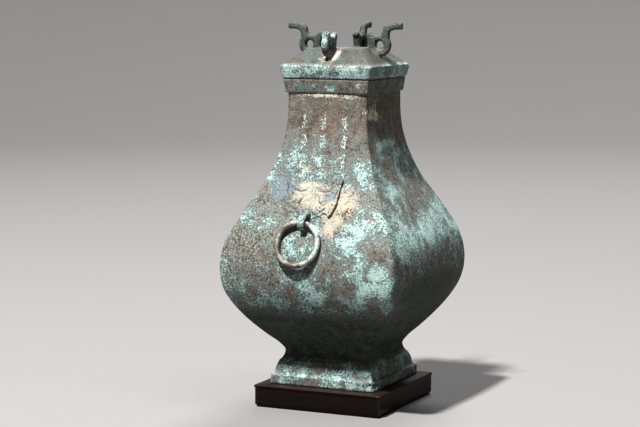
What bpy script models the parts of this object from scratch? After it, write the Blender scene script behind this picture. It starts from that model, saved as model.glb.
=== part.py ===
"""A square bronze wine jar with a lid, two ring handles and its fitted wooden stand.

Metres, +Z up. The origin is the middle of the stand's underside and the face with the
worn inscription looks along -Y. Heights named "rise" are counted from the jar's own foot.
"""

import math

import bmesh
import bpy
import numpy as np
from mathutils import Matrix, Vector

GAP = 0.0003

# Wooden stand
STAND_HEIGHT = 0.0282
STAND_HALF = 0.0853
STAND_LIP = 0.0010
STAND_LIP_HEIGHT = 0.0036
STAND_RECESS = 0.0016
STAND_RECESS_HEIGHT = 0.0026
STAND_CORNER = 0.0012
FOOT_Z = STAND_HEIGHT + GAP

# Jar: smooth stations of the body as (rise, half width), from the waist to the top of the neck
BODY_STATIONS = (
    (0.0410, 0.0566), (0.0510, 0.0620), (0.0650, 0.0757), (0.0900, 0.0967),
    (0.1200, 0.1135), (0.1500, 0.1185), (0.1800, 0.1142), (0.2200, 0.0960),
    (0.2650, 0.0717), (0.3150, 0.0568), (0.3665, 0.0536),
)
BODY_ROWS = 24
WALL = 0.0035
BELLY_HALF = 0.1185
NECK_HALF = 0.0536
FACE_BULGE = 0.0035
NECK_BULGE = 0.0018
NECK_BULGE_RISES = (0.2550, 0.3200)
ARRIS_SHARE = 0.045

# Jar: stepped foot and thickened mouth
FOOT_HALF = 0.0708
FOOT_STEP_RISE = 0.0118
FOOT_TIER_HALF = 0.0668
FOOT_TIER_TOP_HALF = 0.0620
FOOT_TIER_TOP_RISE = 0.0304
FOOT_WALL = 0.0045
FOOT_CORNER = 0.0020
FLOOR_RISE = 0.0385
MOUTH_RISE = 0.3840
COLLAR_RISE = 0.3672
COLLAR_LOW_HALF = 0.0562
COLLAR_TOP_HALF = 0.0584
MOUTH_INNER_HALF = 0.0505

# Lid
LID_BAND_LOW_HALF = 0.0587
LID_EAVE_HALF = 0.0614
LID_EAVE_LOW_RISE = 0.3952
LID_EAVE_RISE = 0.4000
LID_TOP_HALF = 0.0357
LID_TOP_RISE = 0.4215
LID_CORNER = 0.0012
LID_TONGUE_OUTER = 0.0489
LID_TONGUE_INNER = 0.0462
LID_TONGUE_RISE = 0.3720
LID_HOLLOW_HALF = 0.0570
LID_WALL_HEIGHT = 0.0035

# Finials of the lid: a ring on edge with a snout inwards and a horn outwards
FINIAL_THICKNESS = 0.0075
FINIAL_CENTRE = (0.0482, 0.4253)
FINIAL_RADIUS = 0.0146
FINIAL_HOLE = 0.0053
FINIAL_EMBED = 0.0012

# Ring handles with their masks
MASK_OFFSET = -0.0055
MASK_THICKNESS = 0.0022
MASK_GRID = 0.0055
RING_RISE = 0.2086
RING_RADIUS = 0.0272
RING_TUBE = 0.0034
RING_SHIFT = -0.0036
RING_STAND_OFF = 0.0064
HOOK_WIDTH = 0.0112
HOOK_TIP_WIDTH = 0.0084
HOOK_CLEARANCE = 0.0013
HOOK_STRAP = 0.0030
HOOK_CHIN = 0.0024
RING_WALL_CLEARANCE = 0.0004

CORNER_CUTS = 2
FACE_CUTS = 6

BRONZE = ("aged_bronze", (0.235, 0.240, 0.200), 0.72, 0.35)
RING_BRONZE = ("ring_bronze", (0.280, 0.235, 0.205), 0.60, 0.45)
WOOD = ("dark_wood", (0.045, 0.018, 0.014), 0.32, 0.0)


def clear_scene():
    for obj in list(bpy.data.objects):
        bpy.data.objects.remove(obj, do_unlink=True)


def make_collection(name):
    collection = bpy.data.collections.new(name)
    bpy.context.scene.collection.children.link(collection)
    return collection


def make_material(name, colour, roughness, metallic):
    material = bpy.data.materials.new(name)
    material.use_nodes = True
    shader = material.node_tree.nodes["Principled BSDF"]
    shader.inputs["Base Color"].default_value = (*colour, 1.0)
    shader.inputs["Roughness"].default_value = roughness
    shader.inputs["Metallic"].default_value = metallic
    return material


def make_object(name, mesh, collection, material=None):
    obj = bpy.data.objects.new(name, mesh)
    collection.objects.link(obj)
    if material:
        mesh.materials.append(material)
    return obj


def shade_round(mesh, degrees=35.0):
    mesh.shade_smooth()
    mesh.set_sharp_from_angle(angle=math.radians(degrees))


def body_half_width(rise):
    """Half width of the body at a rise, on a smooth curve through its stations."""
    rises, halves = np.array(BODY_STATIONS).T
    slopes = np.gradient(halves, rises)
    slopes[0] = slopes[-1] = 0.0
    index = int(np.clip(np.searchsorted(rises, rise) - 1, 0, len(rises) - 2))
    step = rises[index + 1] - rises[index]
    t = float(np.clip((rise - rises[index]) / step, 0.0, 1.0))
    return float(
        halves[index] * (1 + 2 * t) * (1 - t) ** 2
        + halves[index + 1] * t * t * (3 - 2 * t)
        + slopes[index] * step * t * (1 - t) ** 2
        + slopes[index + 1] * step * t * t * (t - 1)
    )


def body_slope(rise, step=0.0005):
    return (body_half_width(rise + step) - body_half_width(rise - step)) / (2 * step)


def bulge_of(half, rise):
    """How far the middle of a face stands out beyond its arrises."""
    low, high = NECK_BULGE_RISES
    share = min(1.0, max(0.0, (rise - low) / (high - low)))
    neck = NECK_BULGE * share * share * (3 - 2 * share)
    return neck + FACE_BULGE * max(0.0, (half - NECK_HALF) / (BELLY_HALF - NECK_HALF))


def face_distance(x, rise):
    """Distance of the body's face from the axis, at a place across it."""
    half = body_half_width(rise)
    flat = half * (1 - ARRIS_SHARE)
    return half + bulge_of(half, rise) * (1 - (x / flat) ** 2)


def face_normal(x, rise, step=0.0005):
    """Unit normal of the front face, which looks along -Y."""
    across = (face_distance(x + step, rise) - face_distance(x - step, rise)) / (2 * step)
    up = (face_distance(x, rise + step) - face_distance(x, rise - step)) / (2 * step)
    return Vector((-across, -1.0, -up)).normalized()


def plan_of(rise, half, corner, bulge=0.0):
    """Points of a rounded square with slightly bulging faces, anticlockwise from the front."""
    flat = half - corner
    side = []
    for step in range(FACE_CUTS):
        x = flat * (2 * step / FACE_CUTS - 1)
        side.append(Vector((x, -half - bulge * (1 - (x / flat) ** 2), rise + FOOT_Z)))
    for step in range(CORNER_CUTS):
        angle = math.radians(-90 + 90 * step / CORNER_CUTS)
        side.append(Vector((
            flat + corner * math.cos(angle),
            -flat + corner * math.sin(angle),
            rise + FOOT_Z,
        )))
    turns = [Matrix.Rotation(math.radians(90 * turn), 3, "Z") for turn in range(4)]
    return [turn @ point for turn in turns for point in side]


def loft(name, rings):
    """A closed mesh through rings of points, with a flat cap at each end."""
    bm = bmesh.new()
    rows = [[bm.verts.new(point) for point in ring] for ring in rings]
    count = len(rows[0])
    for low, high in zip(rows, rows[1:]):
        for index in range(count):
            after = (index + 1) % count
            bm.faces.new((low[index], low[after], high[after], high[index]))
    bm.faces.new(list(reversed(rows[0])))
    bm.faces.new(rows[-1])
    bmesh.ops.recalc_face_normals(bm, faces=bm.faces)
    mesh = bpy.data.meshes.new(name)
    bm.to_mesh(mesh)
    bm.free()
    shade_round(mesh)
    return mesh


def foot_outline():
    """(rise, half width) up the outside of the foot, to the waist."""
    waist = BODY_STATIONS[0]
    return [
        (0.0, FOOT_HALF),
        (FOOT_STEP_RISE - 0.0008, FOOT_HALF),
        (FOOT_STEP_RISE, FOOT_HALF - 0.0010),
        (FOOT_STEP_RISE + 0.0016, FOOT_TIER_HALF),
        (0.5 * (FOOT_STEP_RISE + FOOT_TIER_TOP_RISE) + 0.001, FOOT_TIER_HALF - 0.0017),
        (FOOT_TIER_TOP_RISE, FOOT_TIER_TOP_HALF),
        (FOOT_TIER_TOP_RISE + 0.0022, FOOT_TIER_TOP_HALF - 0.0022),
        (FOOT_TIER_TOP_RISE + 0.0056, FOOT_TIER_TOP_HALF - 0.0044),
    ] + [waist]


def body_rises():
    """Rises of the body's rows between the waist and the neck's top."""
    low, high = BODY_STATIONS[0][0], BODY_STATIONS[-1][0]
    return [low + (high - low) * row / BODY_ROWS for row in range(1, BODY_ROWS + 1)]


def inner_half_width(rise):
    return body_half_width(rise) - WALL * math.sqrt(1 + body_slope(rise) ** 2)


def jar_rings():
    rings = []
    inside_foot = [
        (FLOOR_RISE - 0.0010, 0.0515),
        (FOOT_TIER_TOP_RISE, FOOT_TIER_TOP_HALF - FOOT_WALL),
        (FOOT_STEP_RISE + 0.0016, FOOT_TIER_HALF - FOOT_WALL),
        (0.0, FOOT_HALF - FOOT_WALL - 0.0010),
    ]
    for rise, half in inside_foot + foot_outline():
        rings.append(plan_of(rise, half, FOOT_CORNER))
    for rise in body_rises():
        half = body_half_width(rise)
        rings.append(plan_of(rise, half, half * ARRIS_SHARE, bulge_of(half, rise)))
    rings.append(plan_of(COLLAR_RISE, COLLAR_LOW_HALF, FOOT_CORNER))
    rings.append(plan_of(MOUTH_RISE - 0.0006, COLLAR_TOP_HALF, FOOT_CORNER))
    rings.append(plan_of(MOUTH_RISE, COLLAR_TOP_HALF - 0.0005, FOOT_CORNER))
    rings.append(plan_of(MOUTH_RISE, MOUTH_INNER_HALF, FOOT_CORNER))
    for rise in reversed(body_rises()[:-1][::2]):
        half = inner_half_width(rise)
        rings.append(plan_of(rise, half, half * ARRIS_SHARE, bulge_of(half + WALL, rise)))
    floor = FLOOR_RISE + WALL
    rings.append(plan_of(floor, inner_half_width(floor), FOOT_CORNER))
    return rings


def lid_rings():
    seat = MOUTH_RISE + GAP
    outline = [
        (LID_TOP_RISE - LID_WALL_HEIGHT, LID_TOP_HALF - 0.0012),
        (LID_EAVE_RISE - 0.0025, LID_HOLLOW_HALF),
        (seat + 0.0042, LID_HOLLOW_HALF - 0.0006),
        (seat + 0.0024, LID_TONGUE_INNER),
        (LID_TONGUE_RISE, LID_TONGUE_INNER),
        (LID_TONGUE_RISE, LID_TONGUE_OUTER),
        (seat, LID_TONGUE_OUTER),
        (seat, LID_BAND_LOW_HALF - 0.0004),
        (seat + 0.0005, LID_BAND_LOW_HALF),
        (LID_EAVE_LOW_RISE, LID_EAVE_HALF),
        (LID_EAVE_RISE, LID_EAVE_HALF),
        (LID_TOP_RISE, LID_TOP_HALF),
    ]
    return [plan_of(rise, half, LID_CORNER) for rise, half in outline]


def slope_rise(out):
    """Rise of the lid's slope at a distance from the axis."""
    share = (out - LID_TOP_HALF) / (LID_EAVE_HALF - LID_TOP_HALF)
    return LID_TOP_RISE + (LID_EAVE_RISE - LID_TOP_RISE) * max(0.0, share)


def arc(centre, radius, start, end, cuts):
    angles = [math.radians(start + (end - start) * step / cuts) for step in range(cuts + 1)]
    return [
        (centre[0] + radius * math.cos(angle), centre[1] + radius * math.sin(angle))
        for angle in angles
    ]


def horn_outline(broken):
    """The horn, from its root outside the ring, round its tip, to its root on top."""
    root, saddle = [(0.0606, 0.4352), (0.0606, 0.4398)], [(0.0519, 0.4416), (0.0496, 0.4374)]
    if broken:
        return root + [(0.0592, 0.4430), (0.0560, 0.4421), (0.0533, 0.4436)] + saddle
    return root + [
        (0.0626, 0.4430), (0.0690, 0.4446), (0.0784, 0.4448), (0.0787, 0.4530),
        (0.0700, 0.4529), (0.0600, 0.4512), (0.0543, 0.4492), (0.0526, 0.4462),
    ] + saddle


def finial_outline(broken):
    """Outline of a finial as (distance from the axis, rise), anticlockwise."""
    head = [
        (0.0400, 0.4366), (0.0372, 0.4386), (0.0345, 0.4418), (0.0316, 0.4410),
        (0.0286, 0.4380), (0.0288, 0.4358), (0.0310, 0.4336),
    ]
    base_places = (0.0338, LID_TOP_HALF, FINIAL_CENTRE[0])
    base = [(out, slope_rise(out) - FINIAL_EMBED) for out in base_places]
    outside = arc(FINIAL_CENTRE, FINIAL_RADIUS, -84, 36, 7)
    return base + outside + horn_outline(broken) + head


def flat_curve(name, outlines, thickness, collection):
    """A closed mesh of flat outlines, extruded to a thickness about their own plane."""
    curve = bpy.data.curves.new(name, "CURVE")
    curve.dimensions = "2D"
    curve.fill_mode = "BOTH"
    curve.extrude = thickness / 2
    for outline in outlines:
        spline = curve.splines.new("POLY")
        spline.points.add(len(outline) - 1)
        spline.use_cyclic_u = True
        for point, (x, y) in zip(spline.points, outline):
            point.co = (x, y, 0.0, 1.0)
    source = bpy.data.objects.new(name, curve)
    collection.objects.link(source)
    bpy.context.view_layer.update()
    graph = bpy.context.evaluated_depsgraph_get()
    mesh = bpy.data.meshes.new_from_object(source.evaluated_get(graph))
    bpy.data.objects.remove(source, do_unlink=True)
    bm = bmesh.new()
    bm.from_mesh(mesh)
    bmesh.ops.remove_doubles(bm, verts=bm.verts, dist=0.00002)
    bmesh.ops.recalc_face_normals(bm, faces=bm.faces)
    bm.to_mesh(mesh)
    bm.free()
    return mesh


def helper_object(name, mesh, collection, matrix=None):
    """An object that only joins another one and stays out of the part itself."""
    if matrix:
        mesh.transform(matrix)
    helper = make_object(name, mesh, collection)
    helper.hide_render = True
    helper.display_type = "WIRE"
    return helper


def join(obj, helper):
    union = obj.modifiers.new(helper.name, "BOOLEAN")
    union.operation = "UNION"
    union.solver = "EXACT"
    union.object = helper


def upright(turn_degrees):
    """Stands a flat outline up, its first axis pointing outwards at a turn about Z."""
    turn = Matrix.Rotation(math.radians(turn_degrees), 4, "Z")
    return Matrix.Translation((0, 0, FOOT_Z)) @ turn @ Matrix.Rotation(math.radians(90), 4, "X")


def make_lid(parts, helpers, bronze):
    lid = make_object("lid", loft("lid", lid_rings()), parts, bronze)
    hole = arc(FINIAL_CENTRE, FINIAL_HOLE, 0, 360 - 30, 11)
    sides = {"right": 0, "back": 90, "left": 180, "front": 270}
    for side, turn in sides.items():
        outlines = [finial_outline(side == "front"), hole]
        mesh = flat_curve(f"finial_{side}", outlines, FINIAL_THICKNESS, helpers)
        join(lid, helper_object(f"finial_{side}", mesh, helpers, upright(turn)))
    return lid


def mask_outline():
    """Outline of a mask as (across, rise), anticlockwise, with the upswept horns at the top."""
    right = [
        (0.0050, 0.2142), (0.0078, 0.2152), (0.0110, 0.2165), (0.0150, 0.2172),
        (0.0192, 0.2200), (0.0232, 0.2230), (0.0262, 0.2208), (0.0286, 0.2184),
        (0.0322, 0.2216), (0.0352, 0.2268), (0.0366, 0.2330), (0.0364, 0.2400),
        (0.0368, 0.2480), (0.0380, 0.2555), (0.0394, 0.2622), (0.0340, 0.2592),
        (0.0280, 0.2558), (0.0205, 0.2542), (0.0130, 0.2552), (0.0070, 0.2584),
    ]
    left = [(-across, rise) for across, rise in reversed(right)]
    return right + [(0.0, 0.2618)] + left + [(0.0, 0.2138)]


def bump(across, rise, centre, radii, height):
    """A smooth raised spot of a mask."""
    share = ((across - centre[0]) / radii[0]) ** 2 + ((rise - centre[1]) / radii[1]) ** 2
    return height * max(0.0, 1 - share) ** 1.5


def mask_relief(across, rise):
    """How far a mask's carving stands above its plate: nose, eyes, brows and cheeks."""
    out = abs(across)
    brow_rise = 0.2440 + 0.30 * (out - 0.008) + 6.0 * (out - 0.008) ** 2
    brow = 0.0014 * math.exp(-(((rise - brow_rise) / 0.0042) ** 2)) * min(1.0, out / 0.008)
    fade = min(1.0, (0.2600 - rise) / 0.030, max(0.0, rise - 0.2205) / 0.0060)
    nose = 0.0030 * math.exp(-((across / 0.0050) ** 2)) * fade
    eye = bump(out, rise, (0.0160, 0.2385), (0.0062, 0.0056), 0.0022)
    cheek = bump(out, rise, (0.0280, 0.2280), (0.0110, 0.0090), 0.0012)
    return max(0.0, brow) + max(0.0, nose) + eye + cheek


def hook_outline():
    """The nose hook in its own plane: first away from the wall, then up along it."""
    reach = RING_TUBE + HOOK_CLEARANCE
    seat = (RING_STAND_OFF, 0.0)
    inner = [(0.0012, 0.0078), (0.0050, 0.0076), (0.0078, 0.0062)]
    inner += arc(seat, reach, 36, -96, 7) + [(0.0030, -reach - 0.0004)]
    tip = [(0.0020, -reach - 0.0022), (0.0030, -reach - 0.0038)]
    chin = (RING_STAND_OFF, -HOOK_CHIN)
    outer = arc(chin, reach + HOOK_STRAP, -90, 18, 6)
    outer += [(0.0132, 0.0052), (0.0112, 0.0096), (0.0078, 0.0130), (0.0040, 0.0150), (0.0012, 0.0156)]
    return inner + tip + outer


def taper_hook(mesh):
    """Narrows a hook from its root to its tip."""
    rises = [vert.co.y for vert in mesh.vertices]
    low, high = min(rises), max(rises)
    for vert in mesh.vertices:
        share = (vert.co.y - low) / (high - low)
        vert.co.z *= (HOOK_TIP_WIDTH + (HOOK_WIDTH - HOOK_TIP_WIDTH) * share) / HOOK_WIDTH


def wall_frame(across, rise):
    """Axes at a place on the front face: x across, y away from the wall, z up along it."""
    normal = face_normal(across, rise)
    up = Vector((1, 0, 0)).cross(normal).normalized()
    up = up if up.z > 0 else -up
    side = normal.cross(up)
    place = Vector((across, -face_distance(across, rise), rise + FOOT_Z))
    return Matrix.Translation(place) @ Matrix((side, normal, up)).transposed().to_4x4()


def ring_axis():
    """The point about which the front ring swings, in the middle of its tube."""
    return wall_frame(MASK_OFFSET, RING_RISE) @ Vector((0, RING_STAND_OFF, 0))


def downhill(tilt):
    """The steepest way down the front ring's plane, when it hangs at a tilt."""
    return Vector((0, -math.sin(tilt), -math.cos(tilt)))


def ring_centre(tilt):
    """The front ring's centre, when it hangs at a tilt."""
    drop = math.sqrt(RING_RADIUS ** 2 - RING_SHIFT ** 2)
    return ring_axis() + Vector((RING_SHIFT, 0, 0)) + downhill(tilt) * drop


def ring_room(tilt):
    """Least distance between the front ring and the wall when it hangs at a tilt."""
    centre, down = ring_centre(tilt), downhill(tilt)
    room = []
    for step in range(72):
        angle = math.radians(5 * step)
        point = centre + RING_RADIUS * (math.cos(angle) * Vector((1, 0, 0)) + math.sin(angle) * down)
        rise = point.z - FOOT_Z
        slope = face_normal(point.x, rise)
        depth = -point.y - face_distance(point.x, rise)
        room.append(depth * -slope.y - RING_TUBE)
    return min(room)


def resting_tilt():
    """The tilt from the vertical at which the ring leans on the wall."""
    low, high = 0.0, math.radians(60)
    for _ in range(40):
        middle = (low + high) / 2
        if ring_room(middle) < RING_WALL_CLEARANCE:
            low = middle
        else:
            high = middle
    return high


def slice_mesh(mesh, spacing):
    """Cuts a flat plate along a square net, so that it can follow a curved wall."""
    bm = bmesh.new()
    bm.from_mesh(mesh)
    for axis in (0, 1):
        places = [vert.co[axis] for vert in bm.verts]
        first = math.ceil((min(places) + 0.001) / spacing)
        last = math.floor((max(places) - 0.001) / spacing)
        for step in range(first, last + 1):
            origin, normal = [0, 0, 0], [0, 0, 0]
            origin[axis], normal[axis] = step * spacing, 1
            geometry = bm.verts[:] + bm.edges[:] + bm.faces[:]
            bmesh.ops.bisect_plane(bm, geom=geometry, plane_co=origin, plane_no=normal)
    bmesh.ops.remove_doubles(bm, verts=bm.verts, dist=0.0003)
    bmesh.ops.triangulate(bm, faces=bm.faces)
    bm.to_mesh(mesh)
    bm.free()


def wrap_mask(mesh):
    """Lays a flat plate on the front face and raises its carving."""
    for vert in mesh.vertices:
        across, rise, depth = vert.co
        height = GAP + (MASK_THICKNESS + mask_relief(across, rise) if depth > 0 else 0.0)
        x = across + MASK_OFFSET
        wall = Vector((x, -face_distance(x, rise), rise + FOOT_Z))
        vert.co = wall + height * face_normal(x, rise)


def make_mask(name, turn, parts, helpers, bronze):
    mesh = flat_curve(name, [mask_outline()], MASK_THICKNESS, helpers)
    slice_mesh(mesh, MASK_GRID)
    wrap_mask(mesh)
    mesh.transform(turn)
    shade_round(mesh)
    mask = make_object(name, mesh, parts, bronze)
    side = Matrix(((0, 0, 1, 0), (1, 0, 0, 0), (0, 1, 0, 0), (0, 0, 0, 1)))
    place = turn @ wall_frame(MASK_OFFSET, RING_RISE) @ side
    hook = flat_curve(f"{name}_hook", [hook_outline()], HOOK_WIDTH, helpers)
    taper_hook(hook)
    join(mask, helper_object(f"{name}_hook", hook, helpers, place))
    return mask


def make_ring(name, turn, parts, bronze):
    tilt = resting_tilt()
    bpy.ops.mesh.primitive_torus_add(
        major_segments=36, minor_segments=10, major_radius=RING_RADIUS, minor_radius=RING_TUBE
    )
    ring = bpy.context.object
    ring.name = ring.data.name = name
    for collection in list(ring.users_collection):
        collection.objects.unlink(ring)
    parts.objects.link(ring)
    lean = Matrix.Rotation(math.radians(90) - tilt, 4, "X")
    ring.data.transform(Matrix.Translation(ring_centre(tilt) - ring_axis()) @ lean)
    ring.matrix_world = turn @ Matrix.Translation(ring_axis())
    ring.data.materials.append(bronze)
    shade_round(ring.data)
    return ring


def make_stand(parts, wood):
    outline = [
        (0.0, STAND_HALF - STAND_RECESS),
        (STAND_RECESS_HEIGHT, STAND_HALF - STAND_RECESS),
        (STAND_RECESS_HEIGHT, STAND_HALF),
        (STAND_HEIGHT - STAND_LIP_HEIGHT, STAND_HALF),
        (STAND_HEIGHT - STAND_LIP_HEIGHT + 0.0008, STAND_HALF + STAND_LIP),
        (STAND_HEIGHT - 0.0012, STAND_HALF + STAND_LIP),
        (STAND_HEIGHT, STAND_HALF + STAND_LIP - 0.0012),
    ]
    rings = [plan_of(height - FOOT_Z, half, STAND_CORNER) for height, half in outline]
    return make_object("wood_stand", loft("wood_stand", rings), parts, wood)


def main():
    clear_scene()
    parts = make_collection("bronze_jar")
    helpers = make_collection("helpers")
    bronze = make_material(*BRONZE)
    ring_bronze = make_material(*RING_BRONZE)
    wood = make_material(*WOOD)
    make_stand(parts, wood)
    make_object("jar", loft("jar", jar_rings()), parts, bronze)
    make_lid(parts, helpers, bronze)
    turns = {"front": Matrix.Identity(4), "back": Matrix.Rotation(math.pi, 4, "Z")}
    for side, turn in turns.items():
        make_mask(f"mask_{side}", turn, parts, helpers, bronze)
        make_ring(f"ring_{side}", turn, parts, ring_bronze)


main()
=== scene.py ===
"""Looks of a square bronze wine jar with its lid, two ring handles and fitted wooden stand.

Metres, +Z up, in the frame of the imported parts. A "rise" is counted from the jar's own foot.
A place on a wall is the distance across it, the rise, and the side it is on; the front looks
along -Y, and "across" runs to the right for someone who looks at that side from outside.
"""

import logging
import math
import random
from dataclasses import dataclass, field
from enum import Enum
from typing import Iterable, Sequence

import bmesh
import bpy
import numpy as np
from mathutils import Matrix, Vector


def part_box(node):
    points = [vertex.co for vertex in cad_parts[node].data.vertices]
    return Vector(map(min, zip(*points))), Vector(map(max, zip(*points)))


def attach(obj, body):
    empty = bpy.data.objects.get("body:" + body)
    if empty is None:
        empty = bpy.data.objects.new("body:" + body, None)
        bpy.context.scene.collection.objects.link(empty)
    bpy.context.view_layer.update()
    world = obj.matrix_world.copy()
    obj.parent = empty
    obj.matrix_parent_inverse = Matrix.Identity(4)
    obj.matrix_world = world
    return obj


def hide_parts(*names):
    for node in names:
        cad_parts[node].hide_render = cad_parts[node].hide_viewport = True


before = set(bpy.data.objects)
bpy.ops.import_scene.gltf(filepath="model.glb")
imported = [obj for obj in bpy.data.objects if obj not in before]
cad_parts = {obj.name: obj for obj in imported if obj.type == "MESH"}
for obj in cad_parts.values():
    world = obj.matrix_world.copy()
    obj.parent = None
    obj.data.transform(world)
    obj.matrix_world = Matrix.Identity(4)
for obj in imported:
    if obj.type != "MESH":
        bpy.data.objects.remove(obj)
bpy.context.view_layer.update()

LOG = logging.getLogger("wine_jar")
MM = 0.001
GAP = 0.0003
SAME_POINT = 0.00002
STAND_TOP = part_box("wood_stand")[1].z
FOOT_Z = STAND_TOP + GAP
MOUTH_RISE = 0.3840
RING_TUBE = 0.0034
VESSEL = "vessel"

Point = tuple[float, float]
Colour = tuple[float, float, float]


class Side(Enum):
    """A side of the square jar, by its turn about Z from the front in degrees."""

    FRONT = 0
    RIGHT = 90
    BACK = 180
    LEFT = 270

    @property
    def turn(self) -> Matrix:
        """The turn about Z that brings the front to this side."""
        return Matrix.Rotation(math.radians(self.value), 4, "Z")


class Crust(Enum):
    """A kind of patina whose amount varies over the bronze, by its attribute's name; the murk is also painted
    shade.
    """

    MINT = "crust_mint"
    BUFF = "crust_buff"
    SLATE = "crust_slate"
    CREAM = "crust_cream"
    RUST = "crust_rust"
    GRAIN = "crust_grain"
    # Dark patina, and also painted shade where it darkens the bronze for the shade that falls on it
    MURK = "crust_murk"
    AQUA = "crust_aqua"


HASH_PRIMES = (73856093, 19349663, 83492791)
HASH_SEED_FACTOR = 2654435761
HASH_ROUNDS = ((15, 2246822519), (13, 3266489917))
HASH_LAST_SHIFT = 16
WORD = 0xFFFFFFFF
HALF_WORD = 0xFFFF
LAYER_SHIFT = 17.3


@dataclass(frozen=True)
class LatticeNoise:
    """Smooth random heights between -1 and 1, the same on each run."""

    seed: int

    def _corner(self, cells: np.ndarray) -> np.ndarray:
        """One random height for each whole-numbered cell corner.

        Args:
            cells: Corners as an (n, 3) array of whole numbers.

        Returns:
            The n heights, between -1 and 1.
        """
        whole = cells.astype(np.int64)
        x, y, z = (whole[:, axis] * prime for axis, prime in enumerate(HASH_PRIMES))
        mixed = (x ^ y ^ z ^ self.seed * HASH_SEED_FACTOR) & WORD
        for shift, factor in HASH_ROUNDS:
            mixed = ((mixed ^ (mixed >> shift)) * factor) & WORD
        mixed = mixed ^ (mixed >> HASH_LAST_SHIFT)
        return (mixed & HALF_WORD) / (HALF_WORD / 2) - 1.0

    def _layer(self, places: np.ndarray) -> np.ndarray:
        """Heights blended between the eight corners round each place."""
        low = np.floor(places)
        share = places - low
        share = share * share * (3 - 2 * share)
        total = np.zeros(len(places))
        for corner in range(8):
            step = np.array([corner & 1, corner >> 1 & 1, corner >> 2 & 1])
            weight = np.prod(np.where(step, share, 1 - share), axis=1)
            total += weight * self._corner(low + step)
        return total

    def at(self, points: np.ndarray, size: float, layers: int = 1, gain: float = 0.5) -> np.ndarray:
        """Noise at points in metres.

        Args:
            points: An (n, 3) array of places.
            size: The width of its widest bumps.
            layers: How many layers, each half as wide as the last.
            gain: A layer's height as a share of the last one's.

        Returns:
            The n heights, mostly between -1 and 1.
        """
        total, height, most = np.zeros(len(points)), 1.0, 0.0
        for layer in range(layers):
            shifted = points * (2 ** layer / size) + LAYER_SHIFT * layer
            total += height * self._layer(shifted)
            most += height
            height *= gain
        return total / most


def smooth_step(values: np.ndarray, low: float, high: float) -> np.ndarray:
    """Rises smoothly from 0 at low to 1 at high."""
    share = np.clip((values - low) / (high - low), 0.0, 1.0)
    return share * share * (3 - 2 * share)


def distance_to_path(places: np.ndarray, path: Sequence[Point]) -> np.ndarray:
    """Least distance of flat places from a path of straight runs.

    Args:
        places: An (n, 2) array.
        path: The path's points.

    Returns:
        The n distances.
    """
    nearest = np.full(len(places), np.inf)
    for start, end in zip(path, path[1:]):
        run = np.subtract(end, start)
        along = np.clip((places - start) @ run / (run @ run), 0.0, 1.0)
        nearest = np.minimum(nearest, np.linalg.norm(places - start - along[:, None] * run, axis=1))
    return nearest


def arc(centre: Point, radius: float, start: float, end: float, cuts: int) -> list[Point]:
    """Points of an arc, its angles in degrees."""
    angles = [math.radians(start + (end - start) * step / cuts) for step in range(cuts + 1)]
    return [(centre[0] + radius * math.cos(a), centre[1] + radius * math.sin(a)) for a in angles]


@dataclass(frozen=True)
class BodyCurve:
    """The smooth upright curve of the jar's wall, from the waist to the top of the neck."""

    stations: tuple[Point, ...] = (
        (0.0410, 0.0566), (0.0510, 0.0620), (0.0650, 0.0757), (0.0900, 0.0967),
        (0.1200, 0.1135), (0.1500, 0.1185), (0.1800, 0.1142), (0.2200, 0.0960),
        (0.2650, 0.0717), (0.3150, 0.0568), (0.3665, 0.0536),
    )
    neck_half: float = 0.0536
    belly_half: float = 0.1185
    bulge: float = 0.0035
    neck_bulge: float = 0.0018
    neck_bulge_rises: Point = (0.2550, 0.3200)
    arris_share: float = 0.045

    def half_width(self, rise: np.ndarray) -> np.ndarray:
        """Half width of the body at each rise."""
        rises, halves = np.array(self.stations).T
        slopes = np.gradient(halves, rises)
        slopes[0] = slopes[-1] = 0.0
        rise = np.asarray(rise, float)
        index = np.clip(np.searchsorted(rises, rise) - 1, 0, len(rises) - 2)
        step = rises[index + 1] - rises[index]
        t = np.clip((rise - rises[index]) / step, 0.0, 1.0)
        return (
            halves[index] * (1 + 2 * t) * (1 - t) ** 2
            + halves[index + 1] * t * t * (3 - 2 * t)
            + slopes[index] * step * t * (1 - t) ** 2
            + slopes[index + 1] * step * t * t * (t - 1)
        )

    def slope(self, rise: np.ndarray, step: float = 0.0005) -> np.ndarray:
        """How fast the half width grows with the rise."""
        return (self.half_width(rise + step) - self.half_width(rise - step)) / (2 * step)

    def face_bulge(self, half: np.ndarray, rise: np.ndarray) -> np.ndarray:
        """How far the middle of a face stands out beyond its arrises."""
        belly = np.maximum(0.0, (half - self.neck_half) / (self.belly_half - self.neck_half))
        return self.bulge * belly + self.neck_bulge * smooth_step(rise, *self.neck_bulge_rises)

    def distance(self, across: np.ndarray, rise: np.ndarray) -> np.ndarray:
        """Distance of a face from the axis at places across it."""
        half = self.half_width(rise)
        return half + self.face_bulge(half, rise) * (1 - (across / (half * (1 - self.arris_share))) ** 2)

    def normal(self, across: np.ndarray, rise: np.ndarray, step: float = 0.0005) -> np.ndarray:
        """Unit normals of the front face."""
        side = (self.distance(across + step, rise) - self.distance(across - step, rise)) / (2 * step)
        up = (self.distance(across, rise + step) - self.distance(across, rise - step)) / (2 * step)
        normals = np.stack([-side, -np.ones_like(side), -up], axis=-1)
        return normals / np.linalg.norm(normals, axis=-1, keepdims=True)

    def on_front(self, across: np.ndarray, rise: np.ndarray, height: np.ndarray) -> np.ndarray:
        """Points that stand at a height over the front face.

        Args:
            across: Distances across the face.
            rise: Rises.
            height: Heights over the wall.

        Returns:
            An (n, 3) array of points.
        """
        across, rise = np.asarray(across, float), np.asarray(rise, float)
        wall = np.stack([across, -self.distance(across, rise), rise + FOOT_Z], axis=-1)
        return wall + np.asarray(height)[..., None] * self.normal(across, rise)


BODY = BodyCurve()


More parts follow.
